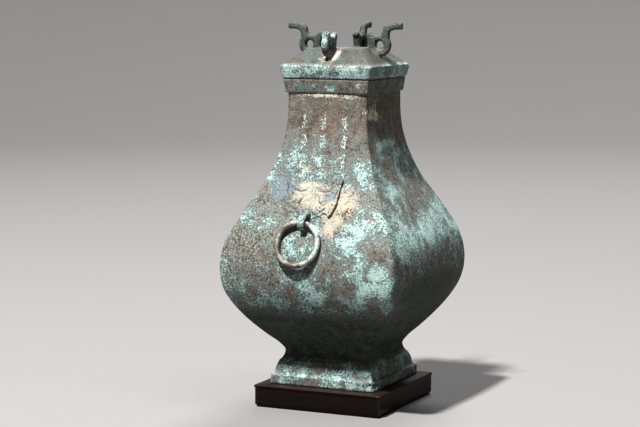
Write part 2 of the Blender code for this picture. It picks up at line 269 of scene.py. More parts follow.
@dataclass(frozen=True)
class Patch:
    """A patch of one crust on a side of the jar. Places and half sizes are in millimetres."""

    crust: Crust
    across: float
    rise: float
    half_width: float
    half_height: float
    strength: float
    side: Side = Side.FRONT
    depth: float = 26.0
    fall: float = 0.7

    def level(self, points: np.ndarray) -> np.ndarray:
        """How much of the patch reaches each point, strongest in its middle."""
        turned = points @ np.array(self.side.turn.to_3x3())
        out = float(BODY.distance(np.array(self.across * MM), np.array(self.rise * MM)))
        offsets = (
            (turned[:, 0] / MM - self.across) / self.half_width,
            ((turned[:, 2] - FOOT_Z) / MM - self.rise) / self.half_height,
            (-turned[:, 1] - out) / MM / self.depth,
        )
        square = sum(offset * offset for offset in offsets)
        return self.strength * np.exp(-self.fall * square * square)


def patches(
    crust: Crust, *rows: tuple[float, float, float, float, float],
    side: Side = Side.FRONT, depth: float = Patch.depth,
) -> list[Patch]:
    """Patches of one crust on one side.

    Args:
        crust: What they are of.
        *rows: Across, rise, half width, half height and strength of each.
        side: The side they are on.
        depth: How far in and out from the wall they reach.

    Returns:
        The patches.
    """
    return [Patch(crust, *row, side, depth) for row in rows]


# How much of each crust there is at a rise in millimetres, before patches and chance
LEVELS: dict[Crust, tuple[Point, ...]] = {
    Crust.MINT: (
        (0, 0.48), (30, 0.52), (34, 0.10), (50, 0.14), (70, 0.18), (96, 0.28), (108, 0.46),
        (130, 0.39), (170, 0.34), (215, 0.36), (262, 0.37), (288, 0.42), (302, 0.30), (322, 0.06),
        (360, 0.02), (368, 0.14), (384, 0.14), (386, 0.60), (400, 0.60), (402, 0.28), (405, -0.20),
        (419, -0.24), (424, 0.30), (430, 0.26), (453, 0.26),
    ),
    Crust.BUFF: ((0, 0.10), (150, 0.05), (205, 0.12), (262, 0.12), (290, 0.05), (460, 0.06)),
    Crust.SLATE: ((0, 0.05), (100, 0.10), (200, 0.12), (300, 0.08), (460, 0.08)),
    Crust.CREAM: ((0, 0.08), (340, 0.04), (361, 0.12), (366, 0.22), (368, 0.06), (460, 0.10)),
    Crust.RUST: (
        (0, 0.10), (40, 0.22), (100, 0.24), (250, 0.16), (330, 0.26), (370, 0.24), (402, 0.24),
        (408, 0.50), (420, 0.50), (430, 0.22), (460, 0.22),
    ),
    Crust.GRAIN: (
        (0, 0.35), (100, 0.50), (200, 0.50), (285, 0.35), (305, 0.06), (384, 0.06), (388, 0.36),
        (400, 0.36), (404, 0.06), (420, 0.06), (426, 0.90), (460, 0.90),
    ),
    # Dark patina and also painted shade: it darkens the waist and lower belly, rises 37 to 99, for the shade
    # under the belly, and the lid and finials partly for their shade
    Crust.MURK: (
        (0, 0.12), (32, 0.15), (37, 0.94), (60, 0.90), (84, 0.84), (99, 0.46), (110, 0.12), (150, 0.04),
        (400, 0.0), (402, 0.30), (405, 0.66), (420, 0.70), (426, 0.66), (460, 0.62),
    ),
    Crust.AQUA: (
        (0, 0.10), (100, 0.16), (220, 0.14), (300, 0.05), (366, 0.05), (388, 0.30), (399, 0.26),
        (403, 0.12), (460, 0.10),
    ),
}

PATCHES: tuple[Patch, ...] = (
    # Bright crust right of the ring and down the right arris
    *patches(
        Crust.MINT,
        (58, 200, 25, 20, 0.32), (46, 174, 16, 10, 0.26), (84, 162, 19, 11, 0.30), (104, 148, 16, 15, 0.32),
        (64, 147, 13, 9, 0.22), (84, 134, 13, 8, 0.26), (108, 124, 11, 18, 0.26), (68, 115, 11, 8, 0.20),
        (88, 222, 22, 16, 0.12),
    ),
    # Bare islands in it and beside it
    *patches(
        Crust.MINT,
        (74, 187, 6, 7, -0.40), (96, 184, 12, 12, -0.34), (90, 120, 9, 8, -0.32), (92, 105, 9, 7, -0.22),
        (58, 132, 13, 8, -0.26), (38, 118, 12, 9, -0.22), (34, 160, 13, 9, -0.14),
    ),
    # Left of the mask and above it, up among the strokes
    *patches(
        Crust.MINT,
        (-42, 287, 20, 12, 0.06), (-72, 234, 16, 24, -0.05), (-46, 214, 12, 5, 0.10), (4, 267, 46, 6, 0.12),
        (-6, 288, 9, 9, 0.16), (58, 264, 12, 9, 0.12), (-2, 307, 8, 9, 0.26),
    ),
    # Speckles behind the ring and low on the belly, which is barer on its left
    *patches(
        Crust.MINT,
        (-46, 121, 15, 8, 0.20), (-56, 110, 20, 7, 0.20), (-34, 110, 13, 7, 0.16), (2, 138, 13, 15, 0.20),
        (-20, 144, 14, 8, 0.14), (18, 118, 12, 9, 0.18), (-20, 128, 9, 7, -0.22), (6, 107, 22, 5, 0.12),
        (50, 102, 22, 5, 0.14), (-14, 178, 19, 19, 0.16), (-9, 187, 7, 6, -0.22), (-84, 168, 36, 32, -0.20),
        (46, 67, 20, 8, 0.18),
    ),
    # On the lid's slope and band, the collar and the line under it
    *patches(
        Crust.MINT,
        (4, 411, 14, 7, 0.40), (-50, 391, 16, 6, 0.14), (-20, 394, 10, 4, 0.12), (36, 392, 18, 6, 0.18),
        (9, 391, 8, 5, -0.22), (-40, 375, 13, 7, 0.34), (-16, 375, 4, 2.8, 0.62), (7, 371, 5.2, 2.6, 0.52),
        (46, 376, 7, 5, 0.16), (-30, 364.0, 22, 1.8, 0.24),
    ),
    # On the front finial and the hook, which stand out from the wall, and round the finial's foot
    *patches(Crust.MINT, (0, 436, 12, 10, 0.16), (-2, 424, 5, 12, 0.30), depth=60),
    *patches(Crust.RUST, (2, 412, 15, 9, -0.60), depth=60),
    *patches(Crust.MURK, (0, 428, 12, 22, -0.80), depth=60),
    *patches(Crust.MINT, (-6, 213, 7, 12, 0.18), depth=40),
    *patches(Crust.MURK, (0, 410, 11, 5, -0.30)),
    # Thinner mint and warm earth on and around the mask
    *patches(Crust.MINT, (-4, 241, 36, 18, -0.10), (36, 222, 18, 26, -0.10)),
    *patches(
        Crust.BUFF,
        (-20, 246, 14, 12, 0.20), (-2, 240, 36, 24, 0.26), (38, 224, 24, 34, 0.20), (-14, 257, 22, 6, 0.20),
        (-2, 241, 17, 12, 0.20), (8, 228, 18, 9, 0.16), (46, 240, 14, 18, 0.22), (29, 213, 14, 9, 0.28),
        (27, 200, 10, 8, 0.32), (-19, 272, 9, 6, 0.42), (84, 216, 13, 9, 0.32), (4, 203, 10, 5, 0.46),
    ),
    # Smooth blue-grey left of the mask and on its cheek
    *patches(
        Crust.SLATE,
        (-50, 264, 13, 8, 0.46), (-49, 247, 14, 12, 0.58), (-30, 253, 9, 8, 0.44), (-68, 224, 14, 4, 0.46),
        (20, 243, 11, 8, 0.46), (5, 252, 9, 4, 0.26),
    ),
    # The cream line under the mouth, and pale spots on the collar and the lid's slope
    *patches(
        Crust.CREAM,
        (-24, 364.2, 34, 1.8, 0.34), (18, 363.2, 26, 3.0, 0.34), (44, 376, 3.5, 3, 0.42),
        (-2, 409, 12, 4, 0.42), (11, 415, 5, 7, 0.50),
    ),
    # Turquoise spots
    *patches(
        Crust.AQUA,
        (-31, 373, 6, 5, 0.50), (-34, 240, 4, 10, 0.20), (92, 158, 14, 8, 0.16), (10, 132, 14, 9, 0.20),
        (-40, 112, 12, 8, 0.26), (-8, 166, 9, 4, 0.24),
    ),
    # Grainier crust on the left of the belly, smoother on its right
    *patches(Crust.GRAIN, (-84, 168, 44, 44, 0.45), (80, 160, 40, 50, -0.30)),
    # Red-brown bare metal
    *patches(
        Crust.RUST,
        (4, 182, 16, 18, 0.20), (-54, 210, 15, 9, 0.30), (70, 252, 9, 12, 0.42), (82, 212, 14, 8, 0.36),
        (92, 110, 9, 9, 0.30), (-16, 292, 8, 5, 0.34), (12, 325, 22, 26, 0.18), (-22, 84, 14, 18, 0.30),
    ),
    # The right side: lacy golden crust at the neck, brightened as a painted highlight where light grazes it;
    # a pale belt over the belly; rust below, under painted shade of less mint and dark murk
    *patches(
        Crust.MINT,
        (-8, 304, 22, 5, 0.30), (-60, 278, 15, 12, 0.14), (-50, 252, 28, 14, 0.16), (64, 268, 22, 12, 0.10),
        (-82, 190, 34, 28, 0.28), (-8, 192, 54, 17, 0.30), (68, 202, 42, 28, 0.32), (-4, 232, 32, 20, -0.06),
        # Less mint low down, part of the painted shade on the lower right side
        (0, 118, 120, 32, -0.24),
        side=Side.RIGHT,
    ),
    # The golden crust at the neck in buff and cream: its own colour, made brighter as a painted highlight
    *patches(Crust.BUFF, (-36, 341, 20, 12, 0.24), (0, 417, 12, 8, 0.50), side=Side.RIGHT),
    *patches(Crust.CREAM, (-38, 341, 17, 10, 0.50), side=Side.RIGHT),
    # Painted shade: dark murk over the lower belly of the right side
    *patches(Crust.MURK, (0, 122, 114, 28, 0.60), side=Side.RIGHT),
    *patches(Crust.RUST, (16, 96, 46, 20, 0.30), (-22, 42, 34, 8, 0.62), side=Side.RIGHT),
    # The back and left sides, mostly hidden: in keeping and plainer
    *patches(
        Crust.MINT,
        (40, 180, 38, 30, 0.22), (-60, 220, 26, 30, 0.16), (-10, 130, 50, 16, -0.16), (0, 240, 40, 20, -0.24),
        side=Side.BACK,
    ),
    *patches(Crust.BUFF, (0, 240, 40, 22, 0.46), side=Side.BACK),
    *patches(Crust.MINT, (-40, 190, 46, 26, 0.20), (50, 260, 22, 20, 0.18), side=Side.LEFT),
    *patches(Crust.BUFF, (0, 417, 12, 8, 0.36), side=Side.LEFT),
    *patches(Crust.SLATE, (30, 215, 26, 14, 0.44), side=Side.LEFT),
    *patches(Crust.RUST, (10, 310, 30, 26, 0.20), side=Side.LEFT),
)


@dataclass(frozen=True)
class Weathering:
    """What the ground has done to the bronze: how much crust lies where, and how rough it is."""

    drift: float = 0.085
    drift_size: float = 0.055
    undulation: float = 0.00030
    undulation_size: float = 0.050
    lumps: float = 0.00014
    lump_size: float = 0.011
    grit: float = 0.00012
    grit_size: float = 0.0042
    crust_height: float = 0.00030
    crust_edge: Point = (0.44, 0.60)
    crust_break: float = 0.22
    crust_size: float = 0.016

    def fields(self, points: np.ndarray) -> dict[Crust, np.ndarray]:
        """Amounts of each crust at points of the bronze, mostly between 0 and 1.

        Args:
            points: An (n, 3) array in the row frame.

        Returns:
            An array of n amounts for each crust.
        """
        rises = (points[:, 2] - FOOT_Z) / MM
        amounts = {}
        for number, crust in enumerate(Crust):
            places, levels = np.array(LEVELS[crust]).T
            amount = np.interp(rises, places, levels)
            amount = amount + self.drift * LatticeNoise(40 + number).at(points, self.drift_size, 3)
            for patch in PATCHES:
                if patch.crust is crust:
                    amount = amount + patch.level(points)
            amounts[crust] = amount
        return amounts

    def relief(self, points: np.ndarray, amounts: dict[Crust, np.ndarray]) -> np.ndarray:
        """How far the weathered skin stands over or under the cast surface, in metres.

        Args:
            points: An (n, 3) array in the row frame.
            amounts: What fields() says of them.

        Returns:
            The n heights.
        """
        smooth = np.clip(amounts[Crust.MURK], 0.0, 1.0)
        lumps = self.lumps * LatticeNoise(7).at(points, self.lump_size, 3, 0.6)
        grit = self.grit * LatticeNoise(9).at(points, self.grit_size, 2, 0.7)
        broken = amounts[Crust.MINT] + self.crust_break * LatticeNoise(8).at(points, self.crust_size, 4, 0.6)
        height = self.undulation * LatticeNoise(5).at(points, self.undulation_size, 2)
        height = height + lumps * (1 - 0.5 * smooth) + grit * (1 - 0.6 * smooth)
        return height + self.crust_height * smooth_step(broken, *self.crust_edge)


@dataclass(frozen=True)
class Dent:
    """A chip: its place, reach and depth in metres, how ragged it is, and how much of it is flat."""

    place: tuple[float, float, float]
    reach: tuple[float, float, float]
    depth: float
    ragged: float = 0.35
    ragged_size: float = 0.006
    flat_share: float = 0.55

    def cut(self, points: np.ndarray) -> np.ndarray:
        """How far the dent takes the surface in at each point."""
        away = np.linalg.norm((points - np.array(self.place)) / np.array(self.reach), axis=1)
        away = away + self.ragged * LatticeNoise(21).at(points, self.ragged_size, 2)
        return self.depth * (1 - smooth_step(away, self.flat_share, 1.0))


WEATHER = Weathering()
CHIPS: tuple[Dent, ...] = (
    Dent((0.0700, -0.0635, FOOT_Z + 0.0075), (0.007, 0.013, 0.0060), 0.0024),
    Dent((0.0712, -0.0712, FOOT_Z + 0.0105), (0.005, 0.005, 0.0040), 0.0014),
    Dent((-0.0930, -0.1190, FOOT_Z + 0.1440), (0.007, 0.006, 0.0011), 0.0009, 0.1),
    Dent((0.0560, -0.0360, FOOT_Z + 0.3300), (0.006, 0.012, 0.0035), 0.0010),
)


def read_vectors(items: bpy.types.bpy_prop_collection, name: str) -> np.ndarray:
    """One named vector of each item, as an (n, 3) array."""
    flat = np.empty(len(items) * 3)
    items.foreach_get(name, flat)
    return flat.reshape(-1, 3)


def mesh_points(mesh: bpy.types.Mesh) -> np.ndarray:
    """The mesh's vertices."""
    return read_vectors(mesh.vertices, "co")


def mesh_normals(mesh: bpy.types.Mesh) -> np.ndarray:
    """The mesh's vertex normals."""
    return read_vectors(mesh.vertex_normals, "vector")


def set_points(mesh: bpy.types.Mesh, points: np.ndarray) -> None:
    """Moves the mesh's vertices."""
    mesh.vertices.foreach_set("co", np.ascontiguousarray(points, dtype=np.float32).ravel())
    mesh.update()


def set_amounts(mesh: bpy.types.Mesh, name: str, values: np.ndarray) -> None:
    """Writes a number for each vertex under a name that the finish reads."""
    layer = mesh.attributes.new(name, "FLOAT", "POINT")
    layer.data.foreach_set("value", np.ascontiguousarray(values, dtype=np.float32))


def link(name: str, data: bpy.types.ID) -> bpy.types.Object:
    """Puts a mesh, curve, lamp or camera in the scene as an object."""
    obj = bpy.data.objects.new(name, data)
    bpy.context.scene.collection.objects.link(obj)
    return obj


def new_object(name: str, mesh: bpy.types.Mesh, finish: bpy.types.Material) -> bpy.types.Object:
    """Puts a mesh in the scene under a name, shaded smooth and all in one finish."""
    mesh.name = name
    mesh.shade_smooth()
    mesh.materials.clear()
    mesh.materials.append(finish)
    return link(name, mesh)


def baked_mesh(source: bpy.types.Object) -> bpy.types.Mesh:
    """The mesh that an object's modifiers or curve settings give. The object is removed."""
    bpy.context.view_layer.update()
    mesh = bpy.data.meshes.new_from_object(source.evaluated_get(bpy.context.evaluated_depsgraph_get()))
    bpy.data.objects.remove(source, do_unlink=True)
    return mesh


def band_faces(rows: int, count: int, turned: bool = False) -> np.ndarray:
    """Quads between closed rings of points that are numbered ring after ring.

    Args:
        rows: How many rings there are.
        count: How many points a ring has.
        turned: Whether the quads face the other way.

    Returns:
        An (n, 4) array of point numbers.
    """
    low = np.arange(count)
    after = (low + 1) % count
    corners = (low, low + count, after + count, after) if turned else (low, after, after + count, low + count)
    quads = np.stack(corners, axis=1)
    return (quads + count * np.arange(rows - 1)[:, None, None]).reshape(-1, 4)


def remeshed(mesh: bpy.types.Mesh, voxel: float, soften: int) -> bpy.types.Mesh:
    """One closed skin round everything in a mesh, in even small faces.

    Args:
        mesh: Closed pieces that may run into each other.
        voxel: The width of a face.
        soften: How many rounds of smoothing wear its edges down.

    Returns:
        The new mesh. The old one is removed.
    """
    source = link("raw_casting", mesh)
    fuse = source.modifiers.new("fuse", "REMESH")
    fuse.mode = "VOXEL"
    fuse.voxel_size = voxel
    fuse.use_smooth_shade = True
    wear = source.modifiers.new("wear", "SMOOTH")
    wear.factor = 0.5
    wear.iterations = soften
    result = baked_mesh(source)
    bpy.data.meshes.remove(mesh)
    return result


def join_meshes(meshes: Iterable[bpy.types.Mesh]) -> bpy.types.Mesh:
    """All the faces of several meshes in one, and the old ones removed."""
    bm = bmesh.new()
    for mesh in meshes:
        bm.from_mesh(mesh)
        bpy.data.meshes.remove(mesh)
    joined = bpy.data.meshes.new("joined")
    bm.to_mesh(joined)
    bm.free()
    return joined


def flat_casting(outlines: Sequence[Sequence[Point]], thickness: float, edge: float) -> bpy.types.Mesh:
    """A plate of flat outlines, about its own middle plane, with rounded edges.

    Args:
        outlines: The outer outline and any holes.
        thickness: The plate's thickness.
        edge: The radius of its edges.

    Returns:
        The plate as a closed mesh.
    """
    curve = bpy.data.curves.new("plate", "CURVE")
    curve.dimensions = "2D"
    curve.fill_mode = "BOTH"
    curve.extrude = thickness / 2 - edge
    curve.bevel_depth = edge
    curve.bevel_resolution = 2
    curve.offset = -edge
    for outline in outlines:
        spline = curve.splines.new("POLY")
        spline.points.add(len(outline) - 1)
        spline.use_cyclic_u = True
        for point, (x, y) in zip(spline.points, outline):
            point.co = (x, y, 0.0, 1.0)
    mesh = baked_mesh(link("plate", curve))
    bm = bmesh.new()
    bm.from_mesh(mesh)
    bmesh.ops.remove_doubles(bm, verts=bm.verts, dist=SAME_POINT)
    bmesh.ops.recalc_face_normals(bm, faces=bm.faces)
    bm.to_mesh(mesh)
    bm.free()
    return mesh


@dataclass(frozen=True)
class Section:
    """A level cut of a square piece: rise, half width, corner radius, bulge and share of weathering."""

    rise: float
    half: float
    corner: float
    bulge: float = 0.0
    weather: float = 1.0


@dataclass(frozen=True)
class SquareLoft:
    """Builds skins through level square sections with rounded corners."""

    face_cuts: tuple[int, int, int, int]
    corner_cuts: int = 6

    def ring(self, section: Section) -> np.ndarray:
        """Points of one section, anticlockwise from the front's left end."""
        flat = section.half - section.corner
        points = []
        for side, cuts in zip(Side, self.face_cuts):
            x = flat * (2 * np.arange(cuts) / cuts - 1)
            y = -section.half - section.bulge * (1 - (x / flat) ** 2)
            angle = np.radians(-90 + 90 * np.arange(self.corner_cuts) / self.corner_cuts)
            x = np.concatenate([x, flat + section.corner * np.cos(angle)])
            y = np.concatenate([y, -flat + section.corner * np.sin(angle)])
            level = np.stack([x, y, np.full(len(x), section.rise + FOOT_Z)], axis=1)
            points.append(level @ np.array(side.turn.to_3x3()).T)
        return np.concatenate(points)

    def mesh(self, sections: Sequence[Section]) -> bpy.types.Mesh:
        """A closed skin through the sections, its ends closed by fans.

        Args:
            sections: From one end of the skin to the other.

        Returns:
            The mesh, with each vertex's share of weathering in "weather".
        """
        rings = [self.ring(section) for section in sections]
        count, rows = len(rings[0]), len(rings)
        ends = [np.array([[0.0, 0.0, sections[end].rise + FOOT_Z]]) for end in (0, -1)]
        points = np.concatenate(rings + ends)
        faces = band_faces(rows, count).tolist()
        first, last, top = rows * count, rows * count + 1, (rows - 1) * count
        faces += [((a + 1) % count, a, first) for a in range(count)]
        faces += [(top + a, top + (a + 1) % count, last) for a in range(count)]
        mesh = bpy.data.meshes.new("loft")
        mesh.from_pydata(points.tolist(), [], faces)
        mesh.validate()
        weather = np.repeat([section.weather for section in sections], count)
        ends_weather = [sections[0].weather, sections[-1].weather]
        set_amounts(mesh, "weather", np.concatenate([weather, ends_weather]))
        return mesh


def refined(outline: Sequence[Point], spacing: float) -> list[Point]:
    """The outline with more points along its straight runs, at most a spacing apart."""
    points = [outline[0]]
    for start, end in zip(outline, outline[1:]):
        cuts = max(1, math.ceil(math.dist(start, end) / spacing))
        for cut in range(1, cuts + 1):
            points.append(tuple(a + (b - a) * cut / cuts for a, b in zip(start, end)))
    return points


def weather_skin(
    mesh: bpy.types.Mesh, dents: Sequence[Dent] = (), share: float = 1.0, painted_shade: np.ndarray | float = 0.0
) -> None:
    """Roughens a bronze skin and writes its crusts for the finish.

    Args:
        mesh: The skin. Its "weather" attribute, where it has one, scales the roughening.
        dents: Chips to cut into it.
        share: Scales the roughening all over.
        painted_shade: Painted shade at each vertex, added to the murk beyond what its place gives it.
    """
    points, normals = mesh_points(mesh), mesh_normals(mesh)
    amounts = WEATHER.fields(points)
    # Painted shade is laid on as extra murk
    amounts[Crust.MURK] = amounts[Crust.MURK] + painted_shade
    height = WEATHER.relief(points, amounts) * share
    if "weather" in mesh.attributes:
        weight = np.empty(len(points))
        mesh.attributes["weather"].data.foreach_get("value", weight)
        height = height * weight
    for dent in dents:
        height = height - dent.cut(points)
    set_points(mesh, points + height[:, None] * normals)
    for crust, amount in amounts.items():
        set_amounts(mesh, crust.value, amount)


class Value:
    """A number that varies over a surface, with Python's arithmetic on it."""

    def __init__(self, bench: "Bench", socket: bpy.types.NodeSocket) -> None:
        """Wraps a socket of a bench's node tree."""
        self.bench = bench
        self.socket = socket

    def _math(self, operation: str, first: object, second: object) -> "Value":
        """One Math node on two numbers or Values."""
        inputs = {0: first, 1: second}
        return Value(self.bench, self.bench.make("ShaderNodeMath", {"operation": operation}, inputs))

    def __add__(self, other: object) -> "Value":
        """self + other."""
        return self._math("ADD", self, other)

    def __radd__(self, other: object) -> "Value":
        """other + self."""
        return self._math("ADD", other, self)

    def __sub__(self, other: object) -> "Value":
        """self - other."""
        return self._math("SUBTRACT", self, other)

    def __rsub__(self, other: object) -> "Value":
        """other - self."""
        return self._math("SUBTRACT", other, self)

    def __mul__(self, other: object) -> "Value":
        """self * other."""
        return self._math("MULTIPLY", self, other)

    def __rmul__(self, other: object) -> "Value":
        """other * self."""
        return self._math("MULTIPLY", other, self)

    def between(self, low: float, high: float) -> "Value":
        """Rises smoothly from 0 where self is low to 1 where it is high."""
        settings = {"interpolation_type": "SMOOTHSTEP"}
        inputs = {"Value": self, "From Min": low, "From Max": high}
        return Value(self.bench, self.bench.make("ShaderNodeMapRange", settings, inputs))

    def held(self) -> "Value":
        """self, held between 0 and 1."""
        return Value(self.bench, self.bench.make("ShaderNodeClamp", {}, {"Value": self}))


# The Mix node's sockets for colours go by number, since those for other data have the same names
MIX_SHARE, MIX_LOW, MIX_HIGH, MIX_RESULT = 0, 6, 7, 2


class Bench:
    """Makes one material's nodes."""

    def __init__(self, name: str) -> None:
        """Starts a material with a bare Principled shader."""
        self.material = bpy.data.materials.new(name)
        self.material.use_nodes = True
        self.tree = self.material.node_tree
        self.shader = self.tree.nodes["Principled BSDF"]
        self.place = self.make("ShaderNodeTexCoord", {}, {}, "Object")

    def _plug(self, socket: bpy.types.NodeSocket, value: object) -> None:
        """Gives an input a link or a plain value."""
        if isinstance(value, Value):
            value = value.socket
        if isinstance(value, bpy.types.NodeSocket):
            self.tree.links.new(value, socket)
        elif isinstance(value, tuple) and len(value) == 3 and socket.type == "RGBA":
            socket.default_value = (*value, 1.0)
        else:
            socket.default_value = value

    def make(
        self, kind: str, settings: dict[str, object], inputs: dict[object, object], output: object = 0
    ) -> bpy.types.NodeSocket:
        """Adds a node.

        Args:
            kind: The node's type.
            settings: Its own settings, which are set first.
            inputs: Values or links by input name or number.
            output: The name or number of the output that is wanted.

        Returns:
            That output.
        """
        node = self.tree.nodes.new(kind)
        for name, value in settings.items():
            setattr(node, name, value)
        for name, value in inputs.items():
            self._plug(node.inputs[name], value)
        return node.outputs[output]

    def amount(self, crust: Crust) -> Value:
        """How much of a crust a vertex carries."""
        return Value(self, self.make("ShaderNodeAttribute", {"attribute_name": crust.value}, {}, "Fac"))

    def noise(
        self, size: float, detail: float = 4.0, roughness: float = 0.6,
        shift: float = 0.0, stretch: tuple[float, float, float] = (1.0, 1.0, 1.0),
    ) -> Value:
        """Cloudy noise about 0, its patches about a size across.

        Args:
            size: The width of its widest patches.
            detail: How many finer layers it has.
            roughness: How strong the finer layers are.
            shift: Moves it, so that two noises differ.
            stretch: Scales the coordinates first.

        Returns:
            The noise, between about -0.5 and 0.5.
        """
        scaled = self.make("ShaderNodeMapping", {}, {
            "Vector": self.place, "Location": (shift, shift * 0.7, shift * 1.3), "Scale": stretch,
        })
        inputs = {"Vector": scaled, "Scale": 1.0 / size, "Detail": detail, "Roughness": roughness}
        return Value(self, self.make("ShaderNodeTexNoise", {}, inputs)) - 0.5

    def blend(self, share: object, low: object, high: object) -> bpy.types.NodeSocket:
        """A colour between two, by a share.

        Args:
            share: 0 for low, 1 for high.
            low: A colour or a link to one.
            high: Likewise.

        Returns:
            The colour.
        """
        settings = {"data_type": "RGBA", "clamp_factor": True}
        inputs = {MIX_SHARE: share, MIX_LOW: low, MIX_HIGH: high}
        return self.make("ShaderNodeMix", settings, inputs, MIX_RESULT)

    def bump(self, height: Value, reach: float) -> bpy.types.NodeSocket:
        """A normal for heights between 0 and 1 that reach a distance."""
        return self.make("ShaderNodeBump", {}, {"Height": height, "Distance": reach, "Strength": 1.0})

    def dress(self, **sockets: object) -> bpy.types.Material:
        """Plugs the shader's inputs, their names written with underscores.

        Args:
            **sockets: Values or links by input name.

        Returns:
            The finished material.
        """
        for name, value in sockets.items():
            self._plug(self.shader.inputs[name.replace("_", " ")], value)
        return self.material


@dataclass(frozen=True)
class BronzeNoise:
    """The noises that the bronze's layers share, and how grainy its crust is at a place."""

    wide: Value
    patchy: Value
    specks: Value
    salt: Value
    dust: Value
    streaks: Value
    grain: Value

    @classmethod
    def on(cls, bench: Bench) -> "BronzeNoise":
        """Makes the noises on a bench."""
        return cls(
            wide=bench.noise(0.042, 6, 0.60, 3.1),
            patchy=bench.noise(0.014, 7, 0.70, 1.7),
            specks=bench.noise(0.0026, 3, 0.7, 5.3),
            salt=bench.noise(0.0020, 3, 0.75, 8.3),
            dust=bench.noise(0.0010, 2, 0.7, 9.1),
            streaks=bench.noise(0.0060, 4, 0.6, 6.2, (1.0, 1.0, 0.22)),
            grain=bench.amount(Crust.GRAIN).held(),
        )


@dataclass(frozen=True)
class AgedBronze:
    """Matt corroded bronze: taupe metal under mint, buff, blue-grey and cream crusts."""

    name: str = "aged_bronze"
    umber: Colour = (0.052, 0.043, 0.036)
    taupe: Colour = (0.242, 0.210, 0.176)
    rust: Colour = (0.225, 0.146, 0.114)
    haze: Colour = (0.168, 0.196, 0.186)
    mint_deep: Colour = (0.100, 0.180, 0.172)
    mint: Colour = (0.225, 0.305, 0.295)
    mint_pale: Colour = (0.405, 0.525, 0.505)
    chalk: Colour = (0.390, 0.420, 0.385)
    aqua: Colour = (0.100, 0.225, 0.240)
    buff: Colour = (0.475, 0.370, 0.270)
    tan: Colour = (0.455, 0.430, 0.365)
    slate: Colour = (0.155, 0.190, 0.212)
    cream: Colour = (0.560, 0.535, 0.440)
    # The murk colour, darkened to also serve as painted shade
    murk: Colour = (0.024, 0.025, 0.021)

    def metal_colour(self, bench: Bench, noise: BronzeNoise) -> bpy.types.NodeSocket:
        """Bare metal, umber to taupe, with its rusty places."""
        fine = noise.specks * (1.0 + 2.2 * noise.grain) + noise.salt * (0.8 + 2.6 * noise.grain)
        tone = (0.48 + 1.1 * noise.patchy + fine + 0.8 * noise.streaks).held()
        rust = bench.amount(Crust.RUST) + 0.9 * noise.wide + 0.5 * noise.specks + 0.5 * noise.streaks
        metal = bench.blend(tone, self.umber, self.taupe)
        return bench.blend(rust.between(0.22, 0.72) * 0.65, metal, self.rust)

    def mint_level(self, bench: Bench, noise: BronzeNoise) -> Value:
        """How near a place is to carrying mint crust."""
        grain = noise.grain
        broken = 1.2 * noise.wide + noise.patchy * (2.3 - 1.0 * grain) + noise.specks * (0.4 + 1.1 * grain)
        powder = noise.salt * (0.5 + 1.2 * grain) + 0.3 * noise.dust + 0.2 * noise.streaks
        return bench.amount(Crust.MINT) + broken + powder

    def mint_colour(self, bench: Bench, noise: BronzeNoise, level: Value) -> bpy.types.NodeSocket:
        """Mint crust, palest where its level is highest."""
        deep = (0.5 + 2.0 * bench.noise(0.012, 6, 0.68, 7.7) + 1.2 * noise.salt).between(0.26, 0.66)
        pale = (level + 1.4 * noise.salt + 1.2 * noise.dust + 0.4 * noise.specks).between(0.48, 1.02)
        return bench.blend(pale, bench.blend(deep, self.mint_deep, self.mint), self.mint_pale)

    def build(self) -> bpy.types.Material:
        """Makes the material."""
        bench = Bench(self.name)
        noise = BronzeNoise.on(bench)
        patchy, specks, salt, dust, grain = noise.patchy, noise.specks, noise.salt, noise.dust, noise.grain

        level = self.mint_level(bench, noise)
        haze = (level + 0.5 * salt).between(-0.06, 0.40)
        mint = level.between(0.42, 0.56)
        aqua = (bench.amount(Crust.AQUA) + 0.9 * patchy + 0.4 * salt).between(0.40, 0.55)
        buff = (bench.amount(Crust.BUFF) + 1.2 * patchy + 0.9 * specks + 0.6 * salt).between(0.32, 0.60)
        slate = (bench.amount(Crust.SLATE) + 1.2 * patchy + 1.4 * salt).between(0.34, 0.62)
        cream = (bench.amount(Crust.CREAM) + 1.3 * patchy + 1.8 * salt).between(0.38, 0.50)
        chalk = (bench.noise(0.0026, 3, 0.7, 2.2) + 0.6 * dust + 0.09 * grain).between(0.13, 0.22)
        # The murk layer: dark patina, and painted shade under the belly, on the lower right side, on the lid
        # and in the mask's grooves
        murk = (bench.amount(Crust.MURK) + 0.9 * patchy + 0.3 * specks).between(0.25, 0.80)
        pits = (salt * -1.0 + 0.6 * dust).between(0.06, 0.20) * (0.35 + 0.45 * grain)
        earth = bench.blend((0.5 + 1.6 * noise.wide + 1.2 * salt).held(), self.buff, self.tan)
        murk_and_shade_colour = bench.blend((0.35 + 2.4 * patchy + 2.0 * salt).held() * 0.7, self.murk, self.mint_deep)

        colour = self.metal_colour(bench, noise)
        layers = (
            (haze * 0.72, self.haze),
            (buff * 0.85, earth),
            (mint * (0.96 - 0.45 * buff), self.mint_colour(bench, noise, level)),
            (aqua * 0.75, self.aqua),
            (slate * 0.75, self.slate),
            (cream * 0.92, self.cream),
            (chalk * 0.55, self.chalk),
            (murk * 0.80, murk_and_shade_colour),
            (pits, self.umber),
        )
        for share, layer in layers:
            colour = bench.blend(share, colour, layer)

        roughness = 0.74 + 0.14 * mint + 0.10 * buff - 0.12 * slate - 0.06 * murk
        height = 0.45 + 0.30 * mint + 0.55 * specks + 0.30 * dust + 0.2 * cream + 0.3 * salt - 0.3 * pits
        return bench.dress(
            Base_Color=colour,
            Roughness=roughness,
            Metallic=(0.16 - 0.16 * mint - 0.12 * buff).held(),
            Specular_IOR_Level=0.30,
            Normal=bench.bump(height, 0.0011),
        )


